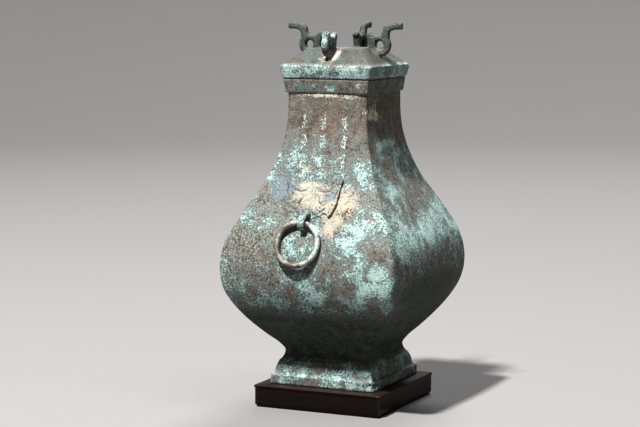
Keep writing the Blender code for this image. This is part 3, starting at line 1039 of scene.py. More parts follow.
@dataclass(frozen=True)
class RubbedBronze:
    """The rings' smoother bronze, pinkish brown to pale grey-green."""

    name: str = "ring_bronze"
    brown: Colour = (0.085, 0.066, 0.055)
    pink: Colour = (0.240, 0.185, 0.155)
    verdigris: Colour = (0.400, 0.480, 0.455)

    def build(self) -> bpy.types.Material:
        """Makes the material."""
        bench = Bench(self.name)
        patchy = bench.noise(0.009, 5, 0.65, 1.2)
        specks = bench.noise(0.0026, 4, 0.75, 4.4)
        metal = bench.blend((0.45 + 1.6 * patchy + 2.0 * specks).held(), self.brown, self.pink)
        green = (bench.amount(Crust.MINT) + 1.3 * patchy + 1.6 * specks).between(0.18, 0.90)
        colour = bench.blend(green * 0.85, metal, self.verdigris)
        return bench.dress(
            Base_Color=colour,
            Roughness=0.55 + 0.2 * green,
            Metallic=(0.35 - 0.3 * green).held(),
            Normal=bench.bump(0.5 + 0.5 * specks + 0.3 * green, 0.0004),
        )


@dataclass(frozen=True)
class CutStrokes:
    """Pale crust that stands in the strokes of the worn inscription."""

    name: str = "stroke_crust"
    pale: Colour = (0.550, 0.690, 0.650)
    worn: Colour = (0.225, 0.205, 0.170)

    def build(self) -> bpy.types.Material:
        """Makes the material."""
        bench = Bench(self.name)
        specks = bench.noise(0.0030, 4, 0.7, 6.6)
        gone = (0.5 + 2.2 * specks).between(0.28, 0.58)
        return bench.dress(
            Base_Color=bench.blend(gone, self.worn, self.pale),
            Roughness=0.85,
            Metallic=0.0,
            Normal=bench.bump(0.5 + specks, 0.0003),
        )


@dataclass(frozen=True)
class DarkWood:
    """Very dark red-brown hardwood with a low polish and faint grain."""

    name: str = "dark_wood"
    dark: Colour = (0.0045, 0.0030, 0.0028)
    red: Colour = (0.0135, 0.0066, 0.0055)
    # Colour of the rubbed edges, also a painted highlight
    rubbed_highlight: Colour = (0.050, 0.030, 0.025)

    def build(self) -> bpy.types.Material:
        """Makes the material."""
        bench = Bench(self.name)
        grain = bench.noise(0.0035, 5, 0.65, 0.3, stretch=(0.06, 1.0, 1.0))
        figure = bench.noise(0.030, 3, 0.5, 2.3, stretch=(0.15, 1.0, 1.0))
        scuffs = bench.noise(0.006, 4, 0.7, 8.0)
        # The edge_wear attribute marks the arrises and top rim, painted lighter: rubbed wear and a painted
        # highlight
        edge = Value(bench, bench.make("ShaderNodeAttribute", {"attribute_name": "edge_wear"}, {}, "Fac"))
        colour = bench.blend((0.5 + 1.6 * grain + 1.0 * figure).held(), self.dark, self.red)
        worn = (edge + 0.9 * scuffs).between(0.55, 0.85)
        colour = bench.blend(worn * 0.55, colour, self.rubbed_highlight)
        return bench.dress(
            Base_Color=colour,
            Roughness=(0.34 + 0.25 * scuffs + 0.10 * grain).held(),
            Metallic=0.0,
            Specular_IOR_Level=0.28,
            Normal=bench.bump(0.5 + 0.5 * grain + 0.2 * scuffs, 0.00012),
        )


@dataclass(frozen=True)
class PaleFloor:
    """A plain pale studio floor."""

    name: str = "pale_floor"
    colour: Colour = (0.200, 0.194, 0.190)

    def build(self) -> bpy.types.Material:
        """Makes the material."""
        bench = Bench(self.name)
        return bench.dress(Base_Color=self.colour, Roughness=0.9)


@dataclass(frozen=True)
class Finishes:
    """The finishes of all pieces, made once."""

    bronze: bpy.types.Material
    ring: bpy.types.Material
    strokes: bpy.types.Material
    wood: bpy.types.Material
    floor: bpy.types.Material

    @classmethod
    def mix(cls) -> "Finishes":
        """Makes every finish."""
        kinds = (AgedBronze(), RubbedBronze(), CutStrokes(), DarkWood(), PaleFloor())
        return cls(*(kind.build() for kind in kinds))


@dataclass
class WineJar:
    """The jar: one bronze casting, hollow, with a stepped foot and a thickened mouth."""

    wall: float = 0.0035
    foot_half: float = 0.0708
    step_rise: float = 0.0118
    tier_half: float = 0.0668
    tier_top_half: float = 0.0620
    tier_top_rise: float = 0.0304
    foot_wall: float = 0.0045
    foot_corner: float = 0.0020
    floor_rise: float = 0.0385
    mouth_rise: float = MOUTH_RISE
    collar_rise: float = 0.3672
    collar_low_half: float = 0.0562
    collar_top_half: float = 0.0584
    mouth_inner_half: float = 0.0505
    edge_step: float = 0.0020
    row_spacing: float = 0.0021
    inner_spacing: float = 0.0140
    curve_cuts: int = 2000
    loft: SquareLoft = field(default_factory=lambda: SquareLoft((112, 112, 80, 80)))

    def foot_sections(self) -> list[Section]:
        """The outside of the foot, up to the waist."""
        step, top = self.step_rise, self.tier_top_rise
        outline = [
            (0.0000, self.foot_half - 0.0006), (0.0007, self.foot_half),
            (step - 0.0010, self.foot_half), (step - 0.0003, self.foot_half - 0.0003),
            (step, self.foot_half - 0.0012), (step + 0.0010, self.tier_half + 0.0006),
            (step + 0.0020, self.tier_half), (step + 0.0110, self.tier_half - 0.0018),
            (top - 0.0008, self.tier_top_half + 0.0002), (top, self.tier_top_half - 0.0005),
            (top + 0.0010, self.tier_top_half - 0.0016), (top + 0.0026, self.tier_top_half - 0.0026),
            (top + 0.0056, self.tier_top_half - 0.0044), BODY.stations[0],
        ]
        return [Section(rise, half, self.foot_corner) for rise, half in refined(outline, self.edge_step)]

    def body_sections(self) -> list[Section]:
        """The outside of the body, from the waist to the top of the neck."""
        low, high = BODY.stations[0][0], BODY.stations[-1][0]
        fine = np.linspace(low, high, self.curve_cuts)
        halves = BODY.half_width(fine)
        length = np.concatenate([[0.0], np.cumsum(np.hypot(np.diff(fine), np.diff(halves)))])
        rows = math.ceil(length[-1] / self.row_spacing)
        rises = np.interp(np.linspace(0, length[-1], rows + 1)[1:], length, fine)
        halves = BODY.half_width(rises)
        sections = zip(rises, halves, halves * BODY.arris_share, BODY.face_bulge(halves, rises))
        return [Section(float(r), float(h), float(c), float(b)) for r, h, c, b in sections]

    def mouth_sections(self) -> list[Section]:
        """The thickened collar, up to the mouth and over its rim."""
        low, top = self.collar_rise, self.mouth_rise
        outline = [
            (low - 0.0002, BODY.neck_half + 0.0019), (low, self.collar_low_half - 0.0002),
            (low + 0.0006, self.collar_low_half), (top - 0.0008, self.collar_top_half),
            (top, self.collar_top_half - 0.0007),
        ]
        sections = [Section(rise, half, self.foot_corner) for rise, half in refined(outline, self.edge_step)]
        return sections + [Section(top, self.mouth_inner_half, self.foot_corner, weather=0.2)]

    def inside_sections(self) -> list[Section]:
        """The inner wall from the mouth down to the floor."""
        low, high = self.floor_rise + self.wall, BODY.stations[-1][0] - 0.010
        sections = []
        for rise in np.linspace(high, low, math.ceil((high - low) / self.inner_spacing)):
            half = float(BODY.half_width(rise) - self.wall * math.hypot(1.0, float(BODY.slope(rise))))
            bulge = float(BODY.face_bulge(half + self.wall, rise))
            sections.append(Section(float(rise), half, half * BODY.arris_share, bulge, 0.8))
        return sections

    def hollow_foot_sections(self) -> list[Section]:
        """The inside of the foot, from its ceiling down to the rim that stands on the wood."""
        outline = [
            (self.floor_rise - 0.0010, 0.0515),
            (self.tier_top_rise, self.tier_top_half - self.foot_wall),
            (self.step_rise + 0.0016, self.tier_half - self.foot_wall),
            (0.0, self.foot_half - self.foot_wall - 0.0010),
        ]
        return [Section(rise, half, self.foot_corner, weather=0.6) for rise, half in outline]

    def build(self, finishes: Finishes) -> bpy.types.Object:
        """Casts, weathers and dresses the jar."""
        sections = (
            self.hollow_foot_sections() + self.foot_sections() + self.body_sections()
            + self.mouth_sections() + self.inside_sections()
        )
        mesh = self.loft.mesh(sections)
        weather_skin(mesh, CHIPS)
        jar = new_object("jar_casting", mesh, finishes.bronze)
        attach(jar, VESSEL)
        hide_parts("jar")
        return jar


@dataclass
class WornInscription:
    """Three columns of shallow strokes on the neck that spell nothing."""

    columns: tuple[float, ...] = (-0.0285, -0.0025, 0.0265)
    rows: tuple[float, ...] = (0.3300, 0.3070, 0.2830)
    glyph_width: float = 0.0088
    glyph_height: float = 0.0160
    stroke_half: float = 0.00056
    stroke_height: float = 0.00056
    strokes: int = 13
    tilts: tuple[int, ...] = (12, 78, 100, -18, 65, 88)
    stroke_cuts: int = 4
    seed: int = 23

    def glyph(self, dice: random.Random) -> list[list[Point]]:
        """The strokes of one sign, each as a bent path about the sign's middle."""
        paths = []
        for number in range(self.strokes):
            level = (number + 0.5) / self.strokes - 0.5
            middle = (dice.uniform(-0.32, 0.32), level + dice.uniform(-0.08, 0.08))
            angle = dice.choice(self.tilts) + dice.uniform(-14, 14)
            length = dice.uniform(0.20, 0.42)
            bend = dice.uniform(-0.12, 0.12)
            cos, sin = math.cos(math.radians(angle)), math.sin(math.radians(angle))
            path = []
            for step in range(self.stroke_cuts + 1):
                share = step / self.stroke_cuts - 0.5
                along, aside = share * length, bend * (1 - 4 * share * share)
                x = middle[0] * self.glyph_width + self.glyph_height * (cos * along - sin * aside)
                y = self.glyph_height * (middle[1] + sin * along + cos * aside)
                path.append((x, y))
            paths.append(path)
        return paths

    def stroke(self, bm: bmesh.types.BMesh, path: Sequence[Point], half: float) -> None:
        """Adds one stroke as a low ridge that tapers to its ends.

        Args:
            bm: The mesh that takes it.
            path: (across, rise) along its middle.
            half: Half its width.
        """
        places = np.array(path)
        runs = np.gradient(places, axis=0)
        aside = np.stack([-runs[:, 1], runs[:, 0]], axis=1)
        aside /= np.linalg.norm(aside, axis=1, keepdims=True)
        rows = []
        for index, place in enumerate(places):
            width = half * (0.45 + 0.55 * math.sin(math.pi * (index + 0.6) / (len(path) + 0.2)))
            corners = [(-1.0, -0.4), (0.0, 1.0), (1.0, -0.4), (0.0, -1.0)]
            flat = np.array([place + side * width * aside[index] for side, _ in corners])
            height = np.array([self.stroke_height * up for _, up in corners])
            rows.append([bm.verts.new(p) for p in BODY.on_front(flat[:, 0], flat[:, 1], height)])
        for low, high in zip(rows, rows[1:]):
            for corner in range(4):
                after = (corner + 1) % 4
                bm.faces.new((low[corner], low[after], high[after], high[corner]))
        bm.faces.new(list(reversed(rows[0])))
        bm.faces.new(rows[-1])

    def build(self, finishes: Finishes) -> bpy.types.Object:
        """Lays all the strokes on the neck."""
        dice = random.Random(self.seed)
        bm = bmesh.new()
        for across in self.columns:
            for rise in self.rows:
                for path in self.glyph(dice):
                    half = self.stroke_half * dice.uniform(0.75, 1.25)
                    self.stroke(bm, [(across + x, rise + y) for x, y in path], half)
        bmesh.ops.recalc_face_normals(bm, faces=bm.faces)
        mesh = bpy.data.meshes.new("strokes")
        bm.to_mesh(mesh)
        bm.free()
        strokes = new_object("neck_strokes", mesh, finishes.strokes)
        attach(strokes, VESSEL)
        return strokes


@dataclass
class JarLid:
    """The lid: one casting with a tongue inside the mouth and four finials on its slopes."""

    mouth_rise: float = MOUTH_RISE
    band_low_half: float = 0.0587
    eave_half: float = 0.0614
    eave_low_rise: float = 0.3952
    eave_rise: float = 0.4000
    top_half: float = 0.0357
    top_rise: float = 0.4215
    corner: float = 0.0012
    tongue_outer: float = 0.0489
    tongue_inner: float = 0.0462
    tongue_rise: float = 0.3720
    hollow_half: float = 0.0570
    finial_thickness: float = 0.0090
    finial_centre: Point = (0.0482, 0.4253)
    finial_radius: float = 0.0146
    finial_hole: float = 0.0053
    finial_embed: float = 0.0012
    finial_edge: float = 0.0030
    horn_thinning: float = 0.30
    thinning_reach: float = 0.018
    voxel: float = 0.0010

    def shell(self) -> bpy.types.Mesh:
        """The lid without its finials."""
        seat = self.mouth_rise + GAP
        outline = [
            (self.top_rise - 0.0035, self.top_half - 0.0012),
            (self.eave_rise - 0.0025, self.hollow_half),
            (seat + 0.0042, self.hollow_half - 0.0006),
            (seat + 0.0024, self.tongue_inner),
            (self.tongue_rise, self.tongue_inner),
            (self.tongue_rise, self.tongue_outer),
            (seat, self.tongue_outer),
            (seat, self.band_low_half),
            (self.eave_low_rise, self.eave_half),
            (self.eave_rise, self.eave_half),
            (self.top_rise, self.top_half),
        ]
        sections = [Section(rise, half, self.corner) for rise, half in outline]
        return SquareLoft((8, 8, 8, 8), 3).mesh(sections)

    def slope_rise(self, out: float) -> float:
        """Rise of the lid's slope at a distance from the axis."""
        share = (out - self.top_half) / (self.eave_half - self.top_half)
        return self.top_rise + (self.eave_rise - self.top_rise) * max(0.0, share)

    def horn(self, broken: bool) -> list[Point]:
        """The horn's outline, from its root outside the ring round its tip to its root on top."""
        root, saddle = [(0.0606, 0.4352), (0.0606, 0.4398)], [(0.0519, 0.4416), (0.0496, 0.4374)]
        if broken:
            return root + [(0.0592, 0.4430), (0.0560, 0.4421), (0.0533, 0.4436)] + saddle
        return root + [
            (0.0626, 0.4430), (0.0690, 0.4446), (0.0784, 0.4448), (0.0787, 0.4530),
            (0.0700, 0.4529), (0.0600, 0.4512), (0.0543, 0.4492), (0.0526, 0.4462),
        ] + saddle

    def finial_outline(self, broken: bool) -> list[Point]:
        """A finial's outline as (distance from the axis, rise), anticlockwise."""
        head = [
            (0.0400, 0.4366), (0.0372, 0.4386), (0.0345, 0.4418), (0.0316, 0.4410),
            (0.0286, 0.4380), (0.0288, 0.4358), (0.0310, 0.4336),
        ]
        base_places = (0.0338, self.top_half, self.finial_centre[0] - 0.0020)
        base = [(out, self.slope_rise(out) - self.finial_embed) for out in base_places]
        outside = arc(self.finial_centre, self.finial_radius, -66, 36, 12)
        return base + outside + self.horn(broken) + head

    def finial(self, side: Side) -> bpy.types.Mesh:
        """One finial in its place: a ring on edge, a snout inwards and a horn outwards."""
        hole = arc(self.finial_centre, self.finial_hole, 0, 345, 23)
        outline = self.finial_outline(side is Side.FRONT)
        mesh = flat_casting([outline, hole], self.finial_thickness, self.finial_edge)
        points = mesh_points(mesh)
        away = np.linalg.norm(points[:, :2] - np.array(self.finial_centre), axis=1)
        thinned = smooth_step(away, self.finial_radius, self.finial_radius + self.thinning_reach)
        points[:, 2] *= 1 - self.horn_thinning * thinned
        set_points(mesh, points)
        # The casting is flat in X and Y: X becomes the way out and Y becomes up.
        stand = Matrix.Rotation(math.radians(-90), 4, "Z") @ Matrix.Rotation(math.radians(90), 4, "X")
        mesh.transform(side.turn @ Matrix.Translation((0, 0, FOOT_Z)) @ stand)
        return mesh

    def build(self, finishes: Finishes) -> bpy.types.Object:
        """Casts the lid and its finials in one, then weathers and dresses it."""
        finials = [self.finial(side) for side in Side]
        mesh = remeshed(join_meshes([self.shell(), *finials]), self.voxel, 2)
        weather_skin(mesh, share=0.8)
        lid = new_object("lid_casting", mesh, finishes.bronze)
        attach(lid, VESSEL)
        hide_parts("lid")
        return lid


@dataclass(frozen=True)
class Carving:
    """A ridge or, with a height under 0, a groove of the mask along a path beside its middle."""

    path: tuple[Point, ...]
    half_width: float
    height: float

    def relief(self, places: np.ndarray) -> np.ndarray:
        """Its height at places given as (distance from the middle, rise)."""
        away = distance_to_path(places, self.path) / self.half_width
        return self.height * np.exp(-away * away)


@dataclass
class BeastMask:
    """An animal mask laid on the shoulder, whose nose curls out and down as the ring's hook."""

    side: Side = Side.FRONT
    offset: float = -0.0055
    thickness: float = 0.0022
    embed: float = 0.0008
    ring_rise: float = 0.2086
    ring_tube: float = RING_TUBE
    ring_stand_off: float = 0.0064
    hook_width: float = 0.0112
    hook_tip_width: float = 0.0084
    hook_clearance: float = 0.0013
    hook_strap: float = 0.0030
    hook_chin: float = 0.0024
    worn_thin: float = 0.38
    edge_wear: float = 0.0013
    lift: float = 0.0018
    groove_shade: float = 0.85
    nose_half: float = 0.0046
    nose_height: float = 0.0030
    nose_rises: Point = (0.2205, 0.2600)
    nose_fades: Point = (0.0060, 0.030)
    bridge_half: float = 0.0022
    bridge_height: float = 0.0010
    bridge_rises: Point = (0.2460, 0.2520)
    eye: Point = (0.0162, 0.2384)
    eye_half: Point = (0.0056, 0.0036)
    eye_slant: float = 0.15
    eye_height: float = 0.0018
    pupil_rise: float = 0.2386
    pupil_half: float = 0.0012
    pupil_depth: float = 0.0007
    deepest: float = -0.0010
    plate_edge: float = 0.0005
    plate_voxel: float = 0.0007
    hook_edge: float = 0.0008
    ragged_size: float = 0.0075
    chip_size: float = 0.0045
    voxel: float = 0.0005

    def outline(self) -> list[Point]:
        """The plate's outline as (across, rise), anticlockwise."""
        right = [
            (0.0050, 0.2142), (0.0078, 0.2152), (0.0110, 0.2165), (0.0150, 0.2172),
            (0.0192, 0.2200), (0.0232, 0.2230), (0.0262, 0.2208), (0.0286, 0.2184),
            (0.0322, 0.2216), (0.0352, 0.2268), (0.0366, 0.2330), (0.0364, 0.2400),
            (0.0368, 0.2480), (0.0380, 0.2555), (0.0394, 0.2622), (0.0340, 0.2592),
            (0.0280, 0.2558), (0.0205, 0.2542), (0.0130, 0.2552), (0.0070, 0.2584),
        ]
        left = [(-across, rise) for across, rise in reversed(right)]
        return right + [(0.0, 0.2618)] + left + [(0.0, 0.2138)]

    def carvings(self) -> tuple[Carving, ...]:
        """Brows, horns, cheek scrolls and the grooves between them."""
        horn = ((0.0050, 0.2530), (0.0130, 0.2508), (0.0210, 0.2508), (0.0290, 0.2538), (0.0372, 0.2598))
        brow = ((0.0040, 0.2462), (0.0100, 0.2440), (0.0180, 0.2436), (0.0255, 0.2462))
        scroll = tuple(arc((0.0285, 0.2292), 0.0042, -60, 200, 12))
        curl = tuple(arc((0.0290, 0.2496), 0.0034, 250, 20, 10))
        under_eye = ((0.0112, 0.2396), (0.0140, 0.2338), (0.0190, 0.2322), (0.0222, 0.2344))
        over_brow = ((0.0100, 0.2480), (0.0170, 0.2470), (0.0250, 0.2492))
        muzzle = ((0.0060, 0.2230), (0.0110, 0.2200), (0.0180, 0.2250), (0.0225, 0.2275))
        temple = ((0.0330, 0.2420), (0.0345, 0.2480), (0.0356, 0.2540))
        return (
            Carving(horn, 0.0020, 0.0009),
            Carving(brow, 0.0018, 0.0010),
            Carving(scroll, 0.0013, 0.0008),
            Carving(curl, 0.0011, 0.0007),
            Carving(under_eye, 0.0010, -0.0011),
            Carving(over_brow, 0.0008, -0.0007),
            Carving(muzzle, 0.0009, -0.0009),
            Carving(temple, 0.0009, -0.0008),
        )

    def relief(self, across: np.ndarray, rise: np.ndarray) -> np.ndarray:
        """How far the carving stands above the plate."""
        out = np.abs(across)
        places = np.stack([out, rise], axis=1)
        height = sum(carving.relief(places) for carving in self.carvings())
        foot = np.maximum(0.0, rise - self.nose_rises[0]) / self.nose_fades[0]
        fade = np.minimum(1.0, np.minimum((self.nose_rises[1] - rise) / self.nose_fades[1], foot))
        nose = self.nose_height * np.exp(-((across / self.nose_half) ** 2)) * fade
        bridge = self.bridge_height * np.exp(-((across / self.bridge_half) ** 2))
        bridge = bridge * smooth_step(rise, *self.bridge_rises)
        aside, over = out - self.eye[0], rise - self.eye[1]
        slanted = over - self.eye_slant * aside
        eye_share = (aside / self.eye_half[0]) ** 2 + (slanted / self.eye_half[1]) ** 2
        eye = self.eye_height * np.maximum(0.0, 1 - eye_share) ** 0.7
        pupil_share = (aside / self.pupil_half) ** 2 + ((rise - self.pupil_rise) / self.pupil_half) ** 2
        pupil = self.pupil_depth * np.exp(-pupil_share)
        return np.maximum(self.deepest, height + np.maximum(0.0, nose) + bridge + eye - pupil)

    def painted_shade(self, points: np.ndarray) -> np.ndarray:
        """How much painted shade the grooves get at points of the front face."""
        places = np.stack([np.abs(points[:, 0] - self.offset), points[:, 2] - FOOT_Z], axis=1)
        grooves = [carving for carving in self.carvings() if carving.height < 0]
        depth = sum(groove.relief(places) / groove.height for groove in grooves)
        broken = 1 + 0.9 * LatticeNoise(53).at(points, 0.005, 2)
        return self.groove_shade * np.clip(depth * broken, 0.0, 1.0)

    def plate(self) -> bpy.types.Mesh:
        """The mask's plate, laid on the wall with its carving raised."""
        deep = self.thickness + self.embed
        mesh = remeshed(flat_casting([self.outline()], deep, self.plate_edge), self.plate_voxel, 1)
        points = mesh_points(mesh)
        share = np.clip(points[:, 2] / deep + 0.5, 0.0, 1.0)
        flat = points * np.array([1.0, 1.0, 0.0])
        ragged = LatticeNoise(51).at(flat, self.ragged_size, 2, 0.6)
        proud = self.worn_thin + (1 - self.worn_thin) * smooth_step(points[:, 0], 0.014, 0.030)
        height = share * self.thickness * proud - self.embed * (1 - share)
        height = height + smooth_step(share, 0.5, 0.95) * self.relief(points[:, 0], points[:, 1])
        chipped = LatticeNoise(54).at(flat, self.chip_size, 2, 0.7)
        lifted = self.lift * smooth_step(points[:, 0], 0.020, 0.037)
        height = height + lifted * (1 + 0.7 * ragged + 0.7 * chipped)
        across = points[:, 0] + self.offset + self.edge_wear * (ragged + 0.8 * chipped)
        rise = points[:, 1] + self.edge_wear * LatticeNoise(52).at(flat, self.ragged_size, 2, 0.6)
        set_points(mesh, BODY.on_front(across, rise, height))
        return mesh

    def hook_outline(self) -> list[Point]:
        """The hook in its own plane: first away from the wall, then up along it."""
        reach = self.ring_tube + self.hook_clearance
        inner = [(-0.0010, 0.0096), (0.0046, 0.0092), (0.0080, 0.0074)]
        inner += arc((self.ring_stand_off, 0.0), reach, 36, -96, 14) + [(0.0030, -reach - 0.0004)]
        tip = [(0.0020, -reach - 0.0022), (0.0030, -reach - 0.0038)]
        outer = arc((self.ring_stand_off, -self.hook_chin), reach + self.hook_strap, -90, 18, 12)
        brow = [(0.0132, 0.0052), (0.0114, 0.0094), (0.0082, 0.0124), (0.0040, 0.0144), (-0.0010, 0.0150)]
        return inner + tip + outer + brow

    def hook(self) -> bpy.types.Mesh:
        """The nose hook, widest where it leaves the snout."""
        mesh = flat_casting([self.hook_outline()], self.hook_width, self.hook_edge)
        points = mesh_points(mesh)
        low, high = points[:, 1].min(), points[:, 1].max()
        share = (points[:, 1] - low) / (high - low)
        width = self.hook_tip_width + (self.hook_width - self.hook_tip_width) * share
        points[:, 2] *= width / self.hook_width
        set_points(mesh, points)
        mesh.transform(self.wall_frame() @ Matrix(((0, 0, 1, 0), (1, 0, 0, 0), (0, 1, 0, 0), (0, 0, 0, 1))))
        return mesh

    def wall_frame(self) -> Matrix:
        """Axes where the ring hangs: x across, y away from the wall, z up along it."""
        across, rise = np.array([self.offset]), np.array([self.ring_rise])
        normal = Vector(BODY.normal(across, rise)[0])
        up = Vector((1, 0, 0)).cross(normal).normalized()
        up = up if up.z > 0 else -up
        place = Vector(BODY.on_front(across, rise, np.zeros(1))[0])
        return Matrix.Translation(place) @ Matrix((normal.cross(up), normal, up)).transposed().to_4x4()

    def build(self, finishes: Finishes) -> bpy.types.Object:
        """Casts plate and hook in one, then weathers and dresses the mask."""
        mesh = remeshed(join_meshes([self.plate(), self.hook()]), self.voxel, 2)
        # Painted shade in the carving's grooves, laid on as murk
        painted_shade = self.painted_shade(mesh_points(mesh))
        mesh.transform(self.side.turn)
        weather_skin(mesh, share=0.5, painted_shade=painted_shade)
        node = f"mask_{self.side.name.lower()}"
        mask = new_object(f"{node}_casting", mesh, finishes.bronze)
        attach(mask, VESSEL)
        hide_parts(node)
        return mask


@dataclass
class RingHandle:
    """A plain loose ring that hangs in a mask's nose hook."""

    side: Side = Side.FRONT
    tube: float = RING_TUBE
    unevenness: float = 0.035
    pitting: float = 0.00008
    pit_size: float = 0.006
    green: float = 0.46
    green_aside: float = 0.18
    green_above: float = 0.06
    green_reach: float = 0.0270
    green_break: float = 0.22
    green_size: float = 0.011
    around: int = 220
    across: int = 28

    def build(self, finishes: Finishes) -> bpy.types.Object:
        """Bends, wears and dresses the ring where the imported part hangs."""
        node = f"ring_{self.side.name.lower()}"
        low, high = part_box(node)
        half = (high - low) / 2
        radius = half.x - self.tube
        lean = math.atan2(half.z - self.tube, half.y - self.tube)
        lean = lean if self.side is Side.FRONT else -lean
        turns = np.linspace(0, 2 * math.pi, self.around, endpoint=False)
        tubes = np.linspace(0, 2 * math.pi, self.across, endpoint=False)
        turn, tube = (grid.ravel() for grid in np.meshgrid(turns, tubes, indexing="ij"))
        wander = LatticeNoise(31).at(np.stack([np.cos(turn), np.sin(turn), np.zeros_like(turn)], 1), 0.7)
        thick = self.tube * (1 + self.unevenness * wander)
        reach = radius + thick * np.cos(tube)
        points = np.stack([reach * np.cos(turn), reach * np.sin(turn), thick * np.sin(tube)], axis=1)
        faces = band_faces(self.around + 1, self.across, turned=True) % len(points)
        mesh = bpy.data.meshes.new(node)
        mesh.from_pydata(points.tolist(), [], faces.tolist())
        mesh.transform(Matrix.Translation((low + high) / 2) @ Matrix.Rotation(lean, 4, "X"))
        self.wear(mesh)
        ring = new_object(f"{node}_handle", mesh, finishes.ring)
        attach(ring, f"{self.side.name.lower()}_ring")
        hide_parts(node)
        return ring

    def wear(self, mesh: bpy.types.Mesh) -> None:
        """Roughens the ring a little and says where it is green."""
        points, normals = mesh_points(mesh), mesh_normals(mesh)
        height = self.pitting * LatticeNoise(33).at(points, self.pit_size, 3, 0.6)
        set_points(mesh, points + height[:, None] * normals)
        middle = points.mean(axis=0)
        away = np.clip((points - middle) @ np.array(self.side.turn.to_3x3()) / self.green_reach, -1, 1)
        green = self.green + self.green_aside * away[:, 0] + self.green_above * away[:, 2]
        green = green + self.green_break * LatticeNoise(34).at(points, self.green_size, 2)
        set_amounts(mesh, Crust.MINT.value, green)


@dataclass
class WoodStand:
    """A low square block of dark wood with a thin lip at its top and a recess at its bottom."""

    half: float = 0.0853
    lip: float = 0.0010
    lip_height: float = 0.0036
    recess: float = 0.0016
    recess_height: float = 0.0026
    corner: float = 0.0014
    edge_step: float = 0.0040
    rubbed_lit_arris: float = 0.004
    rubbed_lit_side: float = 0.002
    rubbed_lit_top: Point = (0.0022, 0.0002)
    sharp_angle: float = 50

    def build(self, finishes: Finishes) -> bpy.types.Object:
        """Cuts and polishes the stand."""
        top = STAND_TOP
        outline = [
            (0.0, self.half - self.recess - 0.0003), (0.0004, self.half - self.recess),
            (self.recess_height, self.half - self.recess), (self.recess_height, self.half - 0.0006),
            (self.recess_height + 0.0006, self.half), (top - self.lip_height, self.half),
            (top - self.lip_height + 0.0003, self.half + 0.0004),
            (top - self.lip_height + 0.0009, self.half + self.lip), (top - 0.0014, self.half + self.lip),
            (top - 0.0006, self.half + self.lip - 0.0003), (top - 0.0002, self.half + self.lip - 0.0008),
            (top, self.half + self.lip - 0.0015),
        ]
        cuts = refined(outline, self.edge_step)
        sections = [Section(rise - FOOT_Z, half, self.corner) for rise, half in cuts]
        mesh = SquareLoft((24, 24, 24, 24), 5).mesh(sections)
        points = mesh_points(mesh)
        # Arrises and the top rim, painted lighter in the finish: rubbed wear and a painted highlight
        out = np.abs(points[:, :2])
        near_arris = smooth_step(out.min(axis=1), self.half - self.rubbed_lit_arris, self.half)
        near_top = smooth_step(points[:, 2], top - self.rubbed_lit_top[0], top - self.rubbed_lit_top[1])
        near_top = near_top * (out.max(axis=1) > self.half - self.rubbed_lit_side)
        set_amounts(mesh, "edge_wear", np.maximum(near_arris, near_top))
        stand = new_object("stand_block", mesh, finishes.wood)
        mesh.set_sharp_from_angle(angle=math.radians(self.sharp_angle))
        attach(stand, VESSEL)
        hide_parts("wood_stand")
        return stand


def direction(azimuth: float, elevation: float) -> Vector:
    """Unit vector from the object, by its turn from the front and its height, in degrees."""
    turn, rise = math.radians(azimuth), math.radians(elevation)
    return Vector((math.sin(turn) * math.cos(rise), -math.cos(turn) * math.cos(rise), math.sin(rise)))


@dataclass(frozen=True)
class SoftLamp:
    """A soft square lamp, placed by its turn and height as seen from the object."""

    name: str
    azimuth: float
    elevation: float
    distance: float
    size: float
    watts: float
    colour: Colour = (1.0, 1.0, 1.0)

    def build(self, aim: Vector) -> None:
        """Hangs the lamp and turns it to the object."""
        away = direction(self.azimuth, self.elevation)
        data = bpy.data.lights.new(self.name, "AREA")
        data.size = self.size
        data.energy = self.watts
        data.color = self.colour
        lamp = link(self.name, data)
        lamp.location = aim + away * self.distance
        lamp.rotation_euler = away.to_track_quat("Z", "Y").to_euler()


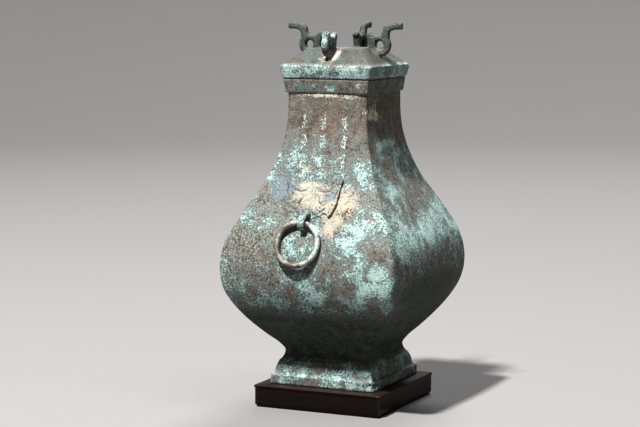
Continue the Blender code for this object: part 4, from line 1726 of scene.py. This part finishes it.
@dataclass(frozen=True)
class Studio:
    """Floor, lamps and the camera at the photograph's angle."""

    azimuth: float = 25.39
    elevation: float = 6.61
    distance: float = 2.5365
    lens: float = 112.5
    clip_end: float = 40.0
    aim_height: float = 0.2285
    aside: float = -0.0314
    above: float = 0.0117
    floor_reach: float = 4.0
    rim_reach: float = 8.0
    rim_height: float = 3.2
    rim_curve: float = 2.2
    rim_rings: int = 17
    flat_rings: tuple[float, ...] = (0.5, 1.5, 2.75)
    floor_sides: int = 64
    sky: float = 0.035
    sky_colour: Colour = (0.93, 0.94, 0.95)
    lamps: tuple[SoftLamp, ...] = (
        SoftLamp("key_lamp", -10, 61, 6.0, 0.40, 745, (1.0, 0.992, 0.980)),
        SoftLamp("high_lamp", 80, 66, 6.0, 2.2, 66, (0.97, 0.99, 1.0)),
        SoftLamp("back_lamp", 190, 50, 6.0, 2.4, 250, (0.97, 0.98, 1.0)),
    )

    def camera(self) -> None:
        """Places the camera."""
        back, right = direction(self.azimuth, self.elevation), direction(self.azimuth + 90, 0)
        up = back.cross(right)
        data = bpy.data.cameras.new("photo_camera")
        data.lens = self.lens
        data.clip_end = self.clip_end
        camera = link("photo_camera", data)
        place = Vector((0, 0, self.aim_height)) + back * self.distance + right * self.aside + up * self.above
        axes = Matrix((right, up, back)).transposed().to_4x4()
        camera.matrix_world = Matrix.Translation(place) @ axes
        bpy.context.scene.camera = camera

    def floor_mesh(self) -> bpy.types.Mesh:
        """A round floor that curves up at its rim, so that no horizon shows."""
        share = np.linspace(0.0, 1.0, self.rim_rings)
        rim = self.floor_reach + (self.rim_reach - self.floor_reach) * share
        reaches = [*self.flat_rings, *rim]
        heights = [0.0] * len(self.flat_rings) + list(self.rim_height * share ** self.rim_curve)
        turns = np.linspace(0, 2 * math.pi, self.floor_sides, endpoint=False)
        points = [(r * math.cos(t), r * math.sin(t), h) for r, h in zip(reaches, heights) for t in turns]
        faces = [tuple(range(self.floor_sides))]
        faces += band_faces(len(reaches), self.floor_sides, turned=True).tolist()
        mesh = bpy.data.meshes.new("studio_floor")
        mesh.from_pydata(points, [], faces)
        return mesh

    def build(self, finishes: Finishes) -> None:
        """Lays the floor and sets the light and the camera."""
        floor = new_object("studio_floor", self.floor_mesh(), finishes.floor)
        world = bpy.data.worlds.new("soft_room")
        world.use_nodes = True
        room = world.node_tree.nodes["Background"]
        room.inputs["Color"].default_value = (*self.sky_colour, 1.0)
        room.inputs["Strength"].default_value = self.sky
        bpy.context.scene.world = world
        bpy.context.scene.view_settings.view_transform = "Standard"
        bpy.context.scene.view_settings.look = "High Contrast"
        for lamp in self.lamps:
            lamp.build(Vector((0, 0, self.aim_height)))
        self.camera()


def main() -> None:
    """Builds every piece in order and sets the studio."""
    logging.basicConfig(level=logging.INFO, format="%(message)s")
    finishes = Finishes.mix()
    makers = [WoodStand(), WineJar(), WornInscription(), JarLid()]
    makers += [part(side) for side in (Side.FRONT, Side.BACK) for part in (BeastMask, RingHandle)]
    for maker in makers:
        piece = maker.build(finishes)
        LOG.info("%s: %d faces", piece.name, len(piece.data.polygons))
    Studio().build(finishes)


if __name__ == "__main__":
    main()
